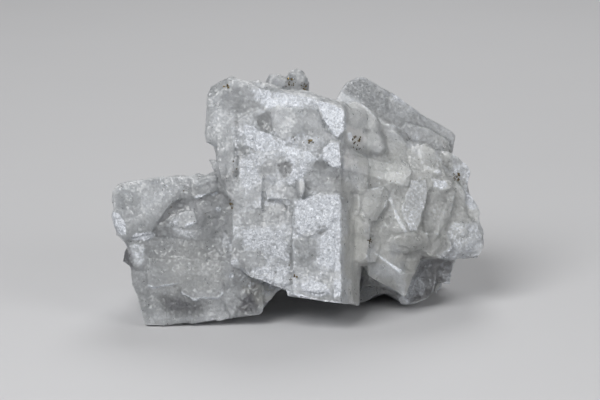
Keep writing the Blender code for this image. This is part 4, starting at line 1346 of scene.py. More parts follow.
@dataclass(frozen=True)
class Vein:
    """A block of barite that part fills a cleft.

    Attributes:
        middle: Its middle, in growth millimetres.
        size: Its sizes along x, y and z.
        turn_deg: How far it is turned about x, y and z.
        bevel: Width of its bevels, to its own size.
    """

    middle: Place
    size: Place
    turn_deg: Place = (0.0, 0.0, 0.0)
    bevel: float = 0.12

    def build(self) -> bpy.types.Object:
        """Model the block, with its edges bevelled, in its place."""
        block = Bench.cube("vein", self.bevel)
        turn = [
            Matrix.Rotation(math.radians(angle), 4, axis)
            for angle, axis in zip(self.turn_deg, "XYZ")
        ]
        place = GROWTH.matrix() @ Matrix.Translation(self.middle)
        place = place @ turn[2] @ turn[1] @ turn[0] @ Matrix.Diagonal((*self.size, 1.0))
        block.data.transform(place)
        return block


LAYERS = (
    # left tablet
    Layer.drawn(
        "left tablet", -48.7, 38.8, -16, 38.8, -17, 30, -16, 18.8, -9.5, 10, -9.5, -1.2,
        -40, -1.2, -48.7, 21.3, tone=-0.12, soft=1.5,
    ),
    Layer.drawn(
        "raised slab, upper left", -46.7, 33.8, -45.5, 35.3, -37.5, 36.8, -27.5, 37.5,
        -21.7, 38.3, -20.7, 36.5, -23.5, 35.3, -26.7, 34.5, -27.2, 32, -29.7, 31.5,
        -32.2, 30.3, -35, 26.5, -36.7, 23.5, -41.2, 21.8, -43.2, 20.8, -44.7, 22.3,
        -47, 27.3, lift=0.22, tone=0.07,
    ),
    Layer.drawn(
        "its paler facet", -41.5, 33.8, -37.5, 35.8, -31, 36.3, -29, 34.8, -31, 31.8,
        -35, 28.8, -37.7, 25.8, -39.5, 27.8, -40.5, 30.5, lift=0.05, tone=0.05, soft=0.8,
    ),
    Layer.drawn(
        "pale corner of the slab", -46.7, 34, -45.2, 35.1, -40.7, 36, -40.5, 32.3,
        -42.2, 28.3, -46.2, 27.8, tone=0.06, soft=1.0,
    ),
    Layer.drawn(
        "corner plate", -26.7, 36, -21.2, 37.5, -20.5, 33.5, -23.5, 32.5, -26.2, 31.5,
        -27.5, 33.3, lift=0.28, tone=0.04,
    ),
    Layer.drawn(
        "white streak under the corner plate", -26.5, 32, -23.5, 32.9, -23.5, 32.3,
        -26, 31.3, tone=0.25, frost=0.75,
    ),
    Layer.drawn(
        "white streak right of it", -22.5, 32.8, -20.7, 33.5, -20.5, 32.8, -22, 32,
        tone=0.2, frost=0.75,
    ),
    Layer.drawn(
        "violet recess", -35.5, 25.3, -34, 28.3, -32, 30.5, -29.7, 31.8, -27.7, 30.5,
        -28.7, 28.8, -31.7, 27.5, -34, 25.5, lift=-0.12, tone=-0.04, clear=0.6,
    ),
    Layer.drawn(
        "recess towards the corner", -29.7, 31.3, -26, 31.3, -25, 29.8, -26, 28,
        -28.5, 28.8, lift=-0.1, tone=0.0, clear=0.4,
    ),
    Layer.drawn(
        "rough ground beside the plate", -33.5, 24.8, -32, 26.5, -30.2, 27.5, -30.5, 24.8,
        -29, 23.8, -26.5, 23.5, -25.7, 21.3, -29, 21.8, -31, 23, lift=0.12, tone=0.05,
        frost=0.35, soft=0.4,
    ),
    Layer.drawn(
        "raised plate", -30.2, 28, -26.7, 28.9, -25.9, 25.8, -29, 24.3, -30.2, 24.8,
        -30.5, 26.5, lift=0.42, tone=0.07,
    ),
    # partly painted light: the plate's lower bevel is frosted and painted lighter, as light
    # glowing through its rim
    Layer.drawn(
        "cream bevel under it", -29.2, 25, -26.2, 26, -26, 25, -28.5, 24.1, tone=0.12,
        frost=0.5,
    ),
    Layer.drawn(
        "small clear block", -25.7, 30, -24.2, 31.3, -22, 30.8, -22.2, 28.5, -24.7, 27.8,
        -25.7, 28.5, lift=0.35, tone=0.0,
    ),
    Layer.drawn(
        "dark mottled part", -25.5, 27.3, -22, 28.8, -18, 27.8, -17, 21.3, -21.5, 20.5,
        -25, 22.3, -27.5, 23.8, tone=-0.02, clear=0.35, soft=2.0,
    ),
    Layer.drawn(
        "fleck by the block", -21, 29.5, -20, 29.5, -19.7, 28.8, -20.5, 28.3, -21.2, 28.8,
        tone=0.15, frost=0.8,
    ),
    Layer.drawn(
        "dark corner under the slab", -37, 24.3, -35.5, 24.5, -34.2, 23, -35, 21.8,
        -36.7, 22.3, tone=-0.06, clear=0.5, soft=0.6,
    ),
    Layer.drawn(
        "milky veil", -38.5, 15.8, -32.5, 14.8, -25, 15.8, -18, 14.8, -17, 12.3,
        -23.7, 10.8, -30, 12.3, -37.5, 11.5, tone=0.03, soft=1.5,
    ),
    Layer.drawn(
        "lower plate", -38.2, 14.3, -38.2, 10, -36.7, 9.3, -30.7, 10.3, -29.7, 9.5,
        -29.5, 8, -26.2, 6, -24.5, 6.8, -20.5, 6.6, -19.2, 8, -19.5, 11, -18.7, 10, -17, 13,
        -16.5, 15.8, -27.5, 16.8, -37.5, 16.3, lift=0.3, tone=0.02,
    ),
    # partly painted light: the rim is frosted and painted lighter, as light glowing through
    # it
    Layer.drawn(
        "pale rim of the lower plate, left", -38.2, 10.3, -36.7, 9.6, -30.7, 10.6,
        -30.7, 10.1, -36.7, 9, -38.2, 9.6, tone=0.14, frost=0.5,
    ),
    # partly painted light: the rim is frosted and painted lighter, as light glowing through
    # it
    Layer.drawn(
        "pale rim of the lower plate, right", -29.5, 8.5, -26.2, 6.5, -24.5, 7.1, -20.5, 7,
        -19.4, 8.3, -19, 7.9, -20.2, 6.4, -24.2, 6.5, -26.2, 5.8, -29.7, 7.8, tone=0.14,
        frost=0.5,
    ),
    Layer.drawn(
        "fleck at its corner", -17.7, 13, -16.7, 13, -16.7, 12, -17.5, 11.8, tone=0.15,
        frost=0.8,
    ),
    Layer.drawn(
        "violet window", -35, 7, -30, 7.3, -26, 5.5, -23.5, 5.8, -25, 3.5, -29.5, 2.8,
        -33.7, 4, tone=-0.23, clear=0.8, soft=2.2,
    ),
    Layer.drawn(
        "violet triangle", -16, 3, -14.7, 6.3, -12.5, 8.3, -10.5, 5.3, -10.7, 3.3,
        tone=-0.19, clear=1.0, soft=1.0,
    ),
    Layer.drawn(
        "pale base", -38.2, 5.3, -32.5, 2.5, -25, 2.3, -17, 3.3, -16.7, 1.8, -25, -0.2,
        -38.2, -0.7, tone=0.05, soft=1.5, frost=0.15,
    ),
    Layer.drawn(
        "milky lumps", -42.7, 19.8, -40.7, 20.8, -38.7, 19.3, -38.7, 15.8, -40.2, 14.3,
        -42.2, 16.3, lift=0.15, tone=0.14, frost=0.36, soft=0.8,
    ),
    Layer.drawn(
        "dark piece at the side", -45, 19.5, -42.7, 19.8, -42.2, 15.8, -40.2, 13.8,
        -43.5, 14.3, -45.2, 16.8, tone=-0.13, clear=0.8, near=-19.0,
    ),
    Layer.drawn(
        "beige piece behind", -15, 12.3, -9.5, 11.8, -3.5, 9.3, -4, 6.3, -9.5, 5.3,
        -14.5, 8.3, tone=-0.02, soft=0.8,
    ),
    # centre crystal, upper half
    Layer.drawn(
        "dark rough corner", -19.5, 58.3, -15, 59.3, -11, 58, -9.5, 55.3, -11, 53,
        -15, 52.8, -19, 53.8, -20.5, 56.3, lift=-0.1, tone=-0.09, soft=1.5,
    ),
    Layer.drawn(
        "pale left edge", -22, 56.8, -19.5, 57.3, -19, 53.3, -16, 52.3, -16.5, 50.8,
        -21.5, 49.3, -22.2, 53.3, tone=0.02, soft=1.0,
    ),
    Layer.drawn(
        "knobs", -9.2, 62.8, -4, 64, -1, 65.3, 2.8, 63.3, 2.3, 58, -4.2, 58.8, -9.2, 59,
        tone=0.02, soft=0.8, deepest=0.0, clear=0.5,
    ),
    # partly painted light: frosted streaks painted lighter, as glints
    Layer.drawn(
        "bright streaks", -12, 58.8, -9.5, 58.8, -6.5, 57.3, -2, 57, 0, 55.5, -0.5, 53.8,
        -5, 54.5, -8, 53.8, -10.5, 55.8, tone=0.14, frost=0.62, soft=0.8,
    ),
    Layer.drawn(
        "smooth plate", -6.7, 54.8, 0.3, 54.3, 0.8, 51.3, 0.3, 48, -2.5, 47, -4.2, 46.5,
        -7, 49, -7.5, 51.8, lift=0.16, tone=0.03, frost=-0.3,
    ),
    Layer.drawn(
        "smooth plate to the right", 0.8, 55.3, 4.8, 54.8, 5.8, 51.3, 5.5, 47.8, 3, 47,
        0.8, 48, lift=0.08, tone=0.0, frost=-0.25,
    ),
    Layer.drawn(
        "brown-grey recess", -11, 52, -9, 53, -7.7, 53.4, -7, 51.8, -7, 48.8, -8, 47.8,
        -9.2, 48.3, -10.7, 50, lift=-0.14, tone=-0.14, clear=0.15, frost=-0.4,
    ),
    Layer.drawn(
        "white plate", -14, 50.3, -11.5, 49.8, -10.2, 48.5, -9.2, 48.5, -7.2, 47.5, -5, 45,
        -5.4, 43.8, -8.5, 43.5, -10.7, 43.3, -13.5, 45, lift=0.24, tone=0.06, frost=0.62,
    ),
    Layer.drawn(
        "tail of the white plate", -5, 45, -1, 44.3, 2.5, 43.3, 4.5, 41.3, 2, 40.8,
        -2, 42.3, -5.2, 43.3, lift=0.12, tone=0.08, frost=0.55,
    ),
    # partly painted light: a frosted corner painted lighter, as the sheen of the key light
    # on it
    Layer.drawn(
        "bright corner", 3.8, 56, 7.5, 55.5, 11.5, 53.3, 11.5, 49, 10.3, 47.5, 8.5, 46.8,
        6.8, 49.3, 5.8, 51.8, 5, 53.8, lift=0.12, tone=0.12, frost=0.72, soft=0.35,
    ),
    # partly painted light: a frosted patch painted lighter, as sheen
    Layer.drawn(
        "bright patch below it", 5.8, 44, 7.1, 45.4, 9.8, 45.8, 10.4, 39.3, 8.5, 39,
        5.8, 41.3, lift=0.1, tone=0.06, frost=0.68,
    ),
    Layer.drawn(
        "grey strip between them", 5.5, 47.8, 7.5, 46.8, 7, 45.3, 5.5, 43.8, 4.3, 41.8,
        4, 45, lift=-0.12, tone=-0.05, clear=0.2,
    ),
    Layer.drawn(
        "brown window", -5.7, 40, -3.7, 40.8, -1.5, 40.3, -1.5, 39.3, -3, 36.3, -4.2, 36.8,
        -5.2, 38.3, lift=-0.08, tone=-0.18, clear=0.35, frost=-0.4,
    ),
    Layer.drawn(
        "grey window", -10, 39.3, -8, 41.3, -4.5, 41.8, -3, 40.5, -5.5, 39.3, -7, 37.3,
        -9.5, 37.8, lift=-0.05, tone=-0.06, clear=0.2, soft=0.7, frost=-0.3,
    ),
    Layer.drawn(
        "brown window, right", 3.8, 40.8, 7, 40.8, 7.3, 39.3, 5.3, 38.5, 3.5, 39.5,
        lift=-0.06, tone=-0.1, clear=0.3, frost=-0.4,
    ),
    Layer.drawn(
        "shadowed part left of the etching", -15.5, 44.8, -13, 44.3, -12, 42.3, -13.5, 40.8,
        -15.5, 41.3, lift=-0.15, tone=-0.07, clear=0.2, soft=0.7, frost=-0.2,
    ),
    Layer.drawn(
        "upright strip", -20.7, 45, -16.5, 45.5, -16.5, 36, -19.5, 36, -20.5, 40, lift=0.1,
        tone=-0.01, frost=-0.25,
    ),
    # painted shade: a sunk groove darkened as the shade inside it
    Layer.drawn(
        "dark line beside the strip", -16.2, 52, -15.5, 52.4, -15.4, 36.3, -16, 36,
        lift=-0.2, tone=-0.12, soft=0.15,
    ),
    Layer.drawn(
        "etched band, left", -15, 41.3, -11, 43.8, -9.5, 41.3, -10.5, 38.3, -9.5, 35.8,
        -12.5, 33.3, -15, 34.8, lift=0.06, tone=-0.01, frost=0.5, soft=0.7,
    ),
    Layer.drawn(
        "etched band, middle", -4, 43.3, 0, 42.8, 2.5, 40.3, 1, 36.8, -2.5, 34.8, -4, 36.3,
        -2, 38.8, -3, 41.3, lift=0.1, tone=0.0, frost=0.52, soft=0.5,
    ),
    Layer.drawn(
        "small upright blade", -0.2, 36.5, 1.1, 36.8, 1.4, 33.3, 0.5, 31.8, -0.2, 33.3,
        lift=0.45, tone=0.06,
    ),
    # painted shade: the gap beside the blade is darkened as the shadow it casts
    Layer.drawn(
        "grey gap beside it", 1.3, 36.8, 2.8, 36.8, 3, 32.8, 0.8, 31.5, lift=-0.15,
        tone=-0.05,
    ),
    Layer.drawn(
        "grey shoulder right", 3, 38.3, 9, 38.8, 10, 34.8, 7.5, 32.8, 3.5, 33.8, lift=-0.05,
        tone=-0.04, clear=0.2, soft=0.7, frost=-0.25,
    ),
    # centre crystal, lower half
    Layer.drawn(
        "left block's top plate", -15, 28.3, -9.5, 28.5, -9.2, 29.8, -2.5, 30, -2.2, 25.5,
        -9.5, 24.8, -14, 24.8, lift=0.1, tone=-0.03, frost=-0.3,
    ),
    # painted shade: a thin shadow line under the plate's edge
    Layer.drawn(
        "dark line under it", -14, 24.9, -9.5, 24.6, -2.5, 25.4, -2.5, 25, -9.5, 24.3,
        -13.7, 24.5, lift=-0.12, tone=-0.1, soft=0.15,
    ),
    Layer.drawn(
        "smooth part low left", -15.7, 18.3, -9.5, 18.8, -8.5, 15.8, -9.5, 14.3, -13, 13.8,
        -15.5, 15, lift=0.12, tone=-0.03, frost=-0.2,
    ),
    Layer.drawn(
        "left block sparkle", -15, 23.8, -3.5, 24.3, -3.2, 15.8, -7.5, 16.8, -11.2, 19.3,
        -14.5, 19.8, tone=-0.1, frost=0.63, soft=1.0,
    ),
    Layer.drawn(
        "left block, low", -12, 14.3, -7.5, 14.8, -3, 15.3, -2.7, 7.3, -7, 8.8, -11, 10.8,
        tone=-0.07, frost=0.6, soft=1.0,
    ),
    Layer.drawn(
        "small step", -4.2, 31.3, -1.7, 31.3, -1.7, 29.8, -4.2, 29.5, lift=-0.2, tone=-0.05,
    ),
    Layer.drawn(
        "slot beside the step", -9.5, 33.5, -8.6, 33.5, -8.6, 28.8, -9.4, 28.5, lift=-0.3,
        tone=-0.036,
    ),
    Layer.drawn(
        "right block, upper part", -1.7, 31.3, 1.5, 32.3, 10.3, 33, 10.5, 22.3, 5.5, 22.3,
        3, 23.8, -1, 21.8, lift=0.04, tone=-0.03, frost=0.68, soft=1.0,
    ),
    Layer.drawn(
        "right block, grey part", -1.5, 21.5, 3, 22.8, 4.5, 20.3, 4, 15.8, 4.5, 12.3,
        -1, 11.3, lift=-0.08, tone=-0.03, soft=0.8, frost=-0.2,
    ),
    Layer.drawn(
        "right block, mottled edge", 5, 22.8, 10.3, 23.3, 10.3, 13.3, 7.5, 13.8, 4.5, 15.3,
        lift=0.06, tone=-0.01, frost=0.66, soft=0.8,
    ),
    Layer.drawn(
        "bright foot", 0, 10.3, 3, 11.3, 6.5, 10.3, 7.5, 7.8, 4.5, 7, 0.5, 8.3, lift=0.07,
        tone=0.01, frost=0.66, soft=0.4,
    ),
    Layer.drawn(
        "bright foot, right", 8.3, 11.5, 10.4, 12, 10.5, 6.8, 8.5, 6.8, lift=0.06,
        tone=0.04, frost=0.66, soft=0.6,
    ),
    # partly painted light: a frosted rim painted lighter, as glints
    Layer.drawn(
        "bright bottom rim", -3.5, 8.8, -0.5, 8, 4, 6.5, 10.3, 5.8, 10.3, 5, 3.5, 5.8,
        -3, 7.8, tone=0.07, frost=0.62, soft=0.3,
    ),
    # partly painted light: a frosted rim painted lighter, as light glowing through it
    Layer.drawn(
        "bright right rim", 9.4, 32.3, 10.6, 32.3, 10.6, 6.3, 9.5, 6.3, tone=0.08,
        frost=0.5, soft=1.0,
    ),
    Layer.drawn(
        "right block, dark pit", 4.5, 24.8, 6.3, 25.3, 6.8, 23.5, 5.3, 22.3, 4.3, 23.3,
        lift=-0.15, tone=-0.08, soft=0.4, frost=-0.3,
    ),
    # right face and the plates beside it
    # painted light: the right face, turned from the key light, is painted lighter to lift
    # its shade
    Layer.drawn(
        "right face, foot", 10.8, 15.8, 15, 15.8, 15.3, 6.3, 10.8, 5, tone=0.03, soft=0.8,
        near=-27.5, deepest=-12.0,
    ),
    # painted light: the right face is painted lighter to lift its shade
    Layer.drawn(
        "right face", 10.8, 38.3, 15.3, 38.3, 15.3, 15.8, 10.8, 15.8, tone=0.08, soft=0.6,
        near=-27.5, deepest=-12.0,
    ),
    Layer.drawn(
        "groove between the blocks", -2.3, 28.3, -1.9, 28.3, -2, 9.8, -2.5, 9.8, lift=-0.05,
        tone=-0.05, frost=-0.3, soft=0.2,
    ),
    Layer.drawn(
        "ledge root", 10.8, 43.8, 15.3, 42.5, 18, 41.3, 18, 37, 14.3, 38.3, 10.8, 39,
        tone=0.12, soft=0.8,
    ),
    Layer.drawn(
        "grey facet", 7.8, 38.5, 14.5, 39, 14.5, 30.3, 10, 30, tone=-0.08, clear=0.3,
        soft=0.8, near=-26.0, deepest=-10.0,
    ),
    Layer.drawn(
        "upright slab", 12.3, 15.8, 12.5, 25.8, 13.8, 28.8, 15.5, 28.3, 17.3, 25.8,
        17.3, 15.8, lift=0.3, tone=0.07,
    ),
    Layer.drawn(
        "plate above it", 14.5, 34, 21, 34.3, 20, 30, 18, 26, 16.5, 26.8, 14.5, 27.8,
        lift=0.35, tone=0.03,
    ),
    # mound, ledge and back plate
    # partly painted light: the raised top is painted lighter where light falls from above
    Layer.drawn(
        "mound's top", 11.8, 55.5, 14, 56.5, 16.8, 54.5, 19, 51.8, 19.8, 50.3, 18.3, 48.8,
        15.5, 49.3, 12.5, 50.3, lift=0.2, tone=0.17, soft=0.5,
    ),
    # painted light: a highlight along the ridge, with some frost
    Layer.drawn(
        "mound's bright ridge", 13.5, 56.3, 14.3, 56.4, 17, 54.5, 19.3, 51.8, 18.8, 51.3,
        16.5, 53.8, lift=0.1, tone=0.1, frost=0.3,
    ),
    # painted light: the hollow is painted lighter to lift the shade that falls in it; its
    # stain comes from the pyrite
    Layer.drawn(
        "glassy stained hollow", 11.8, 49.8, 15.5, 49.3, 16.5, 46.3, 15.5, 44.3, 12.5, 45.8,
        11.5, 47.8, tone=0.3, soft=0.7,
    ),
    # painted highlight: a white glint
    Layer.drawn(
        "glint by the pyrite", 11.8, 48, 12.9, 48.1, 13.2, 46.3, 12.3, 45.9, tone=0.5,
        frost=1.0, soft=0.1,
    ),
    Layer.drawn(
        "lobe", 15.8, 47.3, 18, 48.8, 20, 47.3, 21, 44.3, 19.8, 43, 17, 44, lift=0.3,
        tone=0.15, soft=0.5,
    ),
    Layer.drawn(
        "shadow under the lobe", 13, 44.5, 16, 43.5, 20, 42.5, 23, 43.8, 22, 41.8, 18, 41.8,
        14, 43.3, lift=-0.15, tone=-0.05, soft=0.5,
    ),
    # partly painted light: the waxy shelf's upper surface is painted lighter where light
    # falls on it
    Layer.drawn(
        "waxy ledge", 10.5, 43.8, 13, 44, 16.5, 42, 21.3, 40.5, 26, 40, 28, 38.3,
        25.5, 34.8, 21.3, 36, 16, 37.8, 10.8, 38.8, lift=0.3, tone=0.09,
    ),
    Layer.drawn(
        "ledge, beige part", 10.8, 38.8, 16, 37.8, 21.3, 36, 25.5, 34.8, 25, 33.8,
        19.5, 34.8, 14.5, 35.3, 10.8, 36, tone=0.0, soft=0.6,
    ),
    Layer.drawn(
        "polygonal blocks", 27, 43.8, 30.5, 45.3, 33.5, 43.8, 35.5, 41.3, 36, 38.3,
        33, 37.3, 30, 38.8, 27.5, 39.3, lift=0.25, tone=0.02,
    ),
    # partly painted shade: the matte grey plate is painted darker, as it faces away from
    # the light
    Layer.drawn(
        "back plate", 10, 58.3, 14, 62.8, 18, 62.3, 39.5, 47.8, 38.3, 43.3, 34, 44.3,
        30.8, 45.5, 26.3, 46.3, 23, 50.3, 18, 53.3, 14.3, 56.8, tone=-0.17, soft=0.3,
        near=-14.0, deepest=30.0,
    ),
    # painted shade: a sunk line along the plate's foot, darkened as the shade in the crease
    Layer.drawn(
        "line along its foot", 17.8, 53.5, 23, 50.5, 26.3, 46.5, 30.8, 45.8, 34, 44.5,
        38, 43.5, 38, 42.9, 33.8, 43.9, 30.8, 45, 26, 45.8, 22.5, 49.8, 17.8, 52.9,
        lift=-0.12, tone=-0.1, soft=0.3, near=-16.0, deepest=30.0,
    ),
    Layer.drawn(
        "corner crystal", 37.5, 43.3, 42, 39.8, 42.5, 37.8, 41.3, 34, 38, 35.3, 36, 38.3,
        tone=-0.13, soft=0.4, deepest=30.0,
    ),
    # fan of blades
    Layer.drawn(
        "three-sided blade", 21, 30.8, 22.3, 31.8, 26.8, 23.5, 23.5, 23, 21.5, 24, 21, 25.8,
        lift=0.25, tone=0.0,
    ),
    # painted light: a highlight along the blade's ridge, with some frost
    Layer.drawn(
        "its bright ridge", 21.9, 31.9, 22.8, 31.9, 24.8, 27.3, 26.8, 23.3, 26.3, 22.8,
        24.3, 25.8, 23.3, 28.8, lift=0.15, tone=0.12, frost=0.4, soft=0.15,
    ),
    Layer.drawn(
        "white blade", 25.5, 29.8, 26.8, 33.3, 27.8, 36.3, 31.3, 36.3, 31.8, 33.8, 31, 30,
        29.8, 25.8, 29, 23.5, 27.5, 23.5, 26.3, 25.8, 25.3, 28.3, lift=0.4, tone=-0.04,
        frost=0.38,
    ),
    Layer.drawn(
        "beige smooth blade", 31.8, 32.5, 36.8, 33.5, 36.5, 29.3, 35.3, 25.8, 33.5, 23,
        29.8, 23.3, 31, 28.3, lift=0.1, tone=-0.08,
    ),
    # painted light: the blade's edge painted paler, as light glowing through its rim
    Layer.drawn(
        "its pale edge", 36.5, 30.5, 37.3, 30.5, 35.8, 25.3, 33.5, 21, 32.8, 21.5, 35, 25.8,
        lift=0.15, tone=0.07, soft=0.3,
    ),
    Layer.drawn(
        "round shoulder", 36.5, 35.3, 41.8, 33.8, 44.8, 29, 44.5, 26.8, 38.3, 25.8,
        35.8, 23.8, 36.8, 28.8, tone=-0.04, soft=0.7,
    ),
    Layer.drawn(
        "white crumbs", 37.3, 25.3, 40.5, 26, 44, 25.3, 45.8, 21.8, 45.5, 18.8, 42.5, 18.3,
        40.5, 16.8, 35.5, 15.8, 34.5, 17.3, 37.5, 19.8, 36.5, 22.8, lift=0.2, tone=-0.05,
        frost=0.38, soft=0.6,
    ),
    Layer.drawn(
        "shadow under the crumbs", 40.5, 17.8, 44.5, 18.3, 45, 16.8, 41.5, 16.3, tone=-0.1,
        soft=0.4,
    ),
    Layer.drawn(
        "beige bench", 21.8, 20.8, 24.5, 22.3, 30, 23, 33.8, 23.3, 36.5, 21.3, 36.5, 17.3,
        34.8, 15.8, 33, 17.3, 31.8, 18.3, 30, 18.8, 27, 18.3, 22.8, 18.5, lift=0.25,
        tone=-0.08,
    ),
    Layer.drawn(
        "shadow under the bench", 22.8, 18.4, 27, 18.1, 30.3, 18.6, 31, 17.8, 27, 17.3,
        23, 17.5, lift=-0.15, tone=-0.06, soft=0.4,
    ),
    # partly painted light: a frosted lip painted lighter, as glints
    Layer.drawn(
        "white lip of the blocks", 31, 40, 34, 39, 36.3, 38.4, 36, 37.5, 33.5, 38,
        30.8, 39.3, lift=0.15, tone=0.12, frost=0.3, soft=0.3,
    ),
    # partly painted light: a frosted patch painted lighter, as sparkle
    Layer.drawn(
        "sparkling patch by the corner", 32.8, 37, 35.8, 36.3, 37.5, 34.8, 35.8, 33.8,
        33.3, 34.5, tone=0.08, frost=0.55, soft=0.5,
    ),
    # painted shade: a shallow hollow darkened as the ledge's shadow
    Layer.drawn(
        "hollow under the ledge", 21.5, 34, 25.5, 33.3, 26.3, 31.8, 25.3, 30.5, 23, 31.8,
        lift=-0.1, tone=-0.05, soft=0.5,
    ),
    Layer.drawn(
        "grey facet under the blades", 17.5, 25.8, 21.3, 28, 23, 24.8, 22.5, 21.3,
        18.5, 19.8, tone=-0.03, clear=0.2, soft=0.6,
    ),
    Layer.drawn(
        "low block's front", 17, 18.3, 30, 17.8, 29.5, 14.8, 26.3, 7, 24.3, 7.3, 17.8, 11.5,
        tone=-0.05, soft=0.5, deepest=0.0,
    ),
    # partly painted light: a highlight along the frosted ridge
    Layer.drawn(
        "low block's white ridge", 18.8, 17.8, 19.5, 17.9, 25.3, 13.8, 25, 13, 24, 13.5,
        lift=0.2, tone=0.16, frost=0.6, soft=0.2,
    ),
    # partly painted shade: clear crystals darkened as the shadow behind the block
    Layer.drawn(
        "dark clear pieces", 30.5, 17.3, 38.3, 15.8, 37.5, 10.5, 34.3, 10.8, 33.3, 7,
        27.3, 5.5, 26.3, 7, 29.5, 14.8, tone=-0.36, clear=0.8, soft=0.4, deepest=10.0,
    ),
    # painted shade: crystals under the block darkened as the shadow they lie in
    Layer.drawn(
        "dark crystals under the block", 14.8, 12.8, 17.8, 11.5, 24.3, 7.3, 20, 7, 15, 5.5,
        tone=-0.25, clear=0.4, soft=0.5, deepest=20.0,
    ),
)
VEINS = (
    Vein((-2.3, -24.4, 19.0), (2.2, 3.2, 23.0)),
    Vein((-16.0, -23.4, 43.6), (1.6, 3.2, 17.0)),
    Vein((-30.5, -18.3, 27.0), (13.0, 3.0, 9.0), (0.0, 20.0, 0.0)),
    Vein((-24.0, -18.3, 30.0), (8.0, 3.0, 6.0)),
    Vein((11.9, -15.1, 47.5), (6.0, 10.2, 13.0), (4.0, 3.0, -38.0)),
    Vein((12.2, -16.6, 37.6), (6.0, 10.2, 9.0), (-5.0, -4.0, -44.0)),
    Vein((-6.3, -13.4, 60.6), (4.4, 4.2, 4.0), (12.0, 24.0, 20.0)),
    Vein((-1.2, -13.8, 61.3), (5.0, 4.6, 4.8), (18.0, 38.0, -12.0)),
)
FROSTED = (
    Patch(-3.0, 56.0, 10.0, 2.0, -8.0, 0.55),
    Patch(-6.0, 44.0, 12.0, 9.0, 0.0, 0.38),
    Patch(-4.0, 20.0, 14.0, 14.0, 0.0, 0.38),
    Patch(-45.6, 25.6, 1.6, 3.0, 30.0, 1.0),
    Patch(-39.2, 22.2, 2.6, 1.0, 8.0, 1.0),
    Patch(30.0, 34.0, 14.0, 12.0, 0.0, 0.20),
)
CLEAR = (
    Patch(-43.2, 16.8, 1.6, 3.0, 0.0, 0.7),
)
WARM = (
    Patch(28.0, 30.0, 18.0, 16.0, 0.0, 0.6, 30.0),
    Patch(-9.0, 9.0, 5.0, 4.5, 0.0, 0.9, 30.0),
    Patch(14.0, 18.0, 3.0, 14.0, 0.0, 0.8, 30.0),
    Patch(-26.0, 14.0, 9.0, 7.0, 0.0, 0.35),
    Patch(32.0, 11.0, 6.5, 7.0, 0.0, 0.8, 30.0),
    Patch(19.5, 8.0, 6.0, 4.5, 0.0, 0.6, 30.0),
    Patch(16.0, 49.0, 7.0, 7.0, 0.0, 0.4),
)


# --------------------------------------------------------------------------- the pyrite

class Skin:
    """The finished barite's surface, sounded from the front."""

    def __init__(self, piece: bpy.types.Object) -> None:
        """Prepare the sounding of a piece."""
        self.tree = BVHTree.FromObject(piece, bpy.context.evaluated_depsgraph_get())

    def meet(self, x: float, z: float) -> tuple[Vector, Vector] | None:
        """Where a line at growth x and z first meets the skin, and its normal."""
        start = GROWTH.to_world((x, -SOUNDING_START_MM, z))
        hit, normal, _, _ = self.tree.ray_cast(start, GROWTH.ahead())
        return None if hit is None else (hit, normal)


@dataclass
class PyriteGroup:
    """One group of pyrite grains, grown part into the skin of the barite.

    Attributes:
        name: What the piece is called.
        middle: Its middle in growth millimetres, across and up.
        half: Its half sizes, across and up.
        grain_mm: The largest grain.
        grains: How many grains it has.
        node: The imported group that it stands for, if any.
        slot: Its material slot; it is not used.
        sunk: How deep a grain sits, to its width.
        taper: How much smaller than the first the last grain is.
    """

    name: str
    middle: tuple[float, float]
    half: tuple[float, float]
    grain_mm: float
    grains: int
    node: str = ""
    slot: str = "pyrite"
    sunk: float = 0.12
    taper: float = 0.65

    def build(
        self, cube: bpy.types.Object, skin: Skin, finish: bpy.types.Material
    ) -> bpy.types.Object:
        """Copy the master cube into the group's places.

        Args:
            cube: The modelled cube, 1 m wide.
            skin: The barite's surface.
            finish: The pyrite material.

        Returns:
            The finished group.
        """
        random = np.random.default_rng(sum(map(ord, self.name)))
        copies = []
        for number in range(self.grains):
            x = self.middle[0] + self.half[0] * random.uniform(-1, 1)
            z = self.middle[1] + self.half[1] * random.uniform(-1, 1)
            size = self.grain_mm * (1.0 - self.taper * number / self.grains)
            angles = random.uniform(0, math.tau, 3)
            met = skin.meet(x, z)
            if met is None:
                continue
            place = met[0] - met[1].normalized() * self.sunk * size * MM
            turn = Matrix.Rotation(angles[0], 4, "X") @ Matrix.Rotation(angles[1], 4, "Y")
            sized = turn @ Matrix.Scale(size * MM, 4)
            copies.append(Bench.copy(cube, Matrix.Translation(place) @ sized))
        piece = Bench.join(copies, self.name)
        piece.data.materials.clear()
        piece.data.materials.append(finish)
        if self.node:
            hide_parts(self.node)
        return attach(piece, "root")

    @classmethod
    def of_node(cls, node: str, grain_mm: float, grains: int) -> "PyriteGroup":
        """A group that stands for a packed one."""
        low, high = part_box(node)
        corners = GROWTH.from_world(np.array([low, high]))
        middle = corners.mean(axis=0)
        half = np.abs(corners[1] - corners[0]) / 2
        places = (middle[0], middle[2]), (half[0], half[2])
        return cls(node + "_grains", *places, grain_mm, grains, node)


@dataclass
class PyriteCube:
    """The master cube, 1 m wide: bevelled, with stepped faces as pyrite grows."""

    wide_face: float = 0.5
    bevel: float = 0.05
    step_in: float = 0.16
    step_up: float = 0.04

    def build(self) -> bpy.types.Object:
        """Model the cube, 1 m wide, at the origin."""
        cube = Bench.cube("pyrite_cube", self.bevel)
        for face in cube.data.polygons:
            face.select = face.area > self.wide_face
        bpy.ops.object.mode_set(mode="EDIT")
        bpy.ops.mesh.inset(thickness=self.step_in, use_individual=True)
        bpy.ops.mesh.extrude_region_shrink_fatten(
            TRANSFORM_OT_shrink_fatten={"value": self.step_up}
        )
        bpy.ops.object.mode_set(mode="OBJECT")
        return cube


# --------------------------------------------------------------------------- the studio

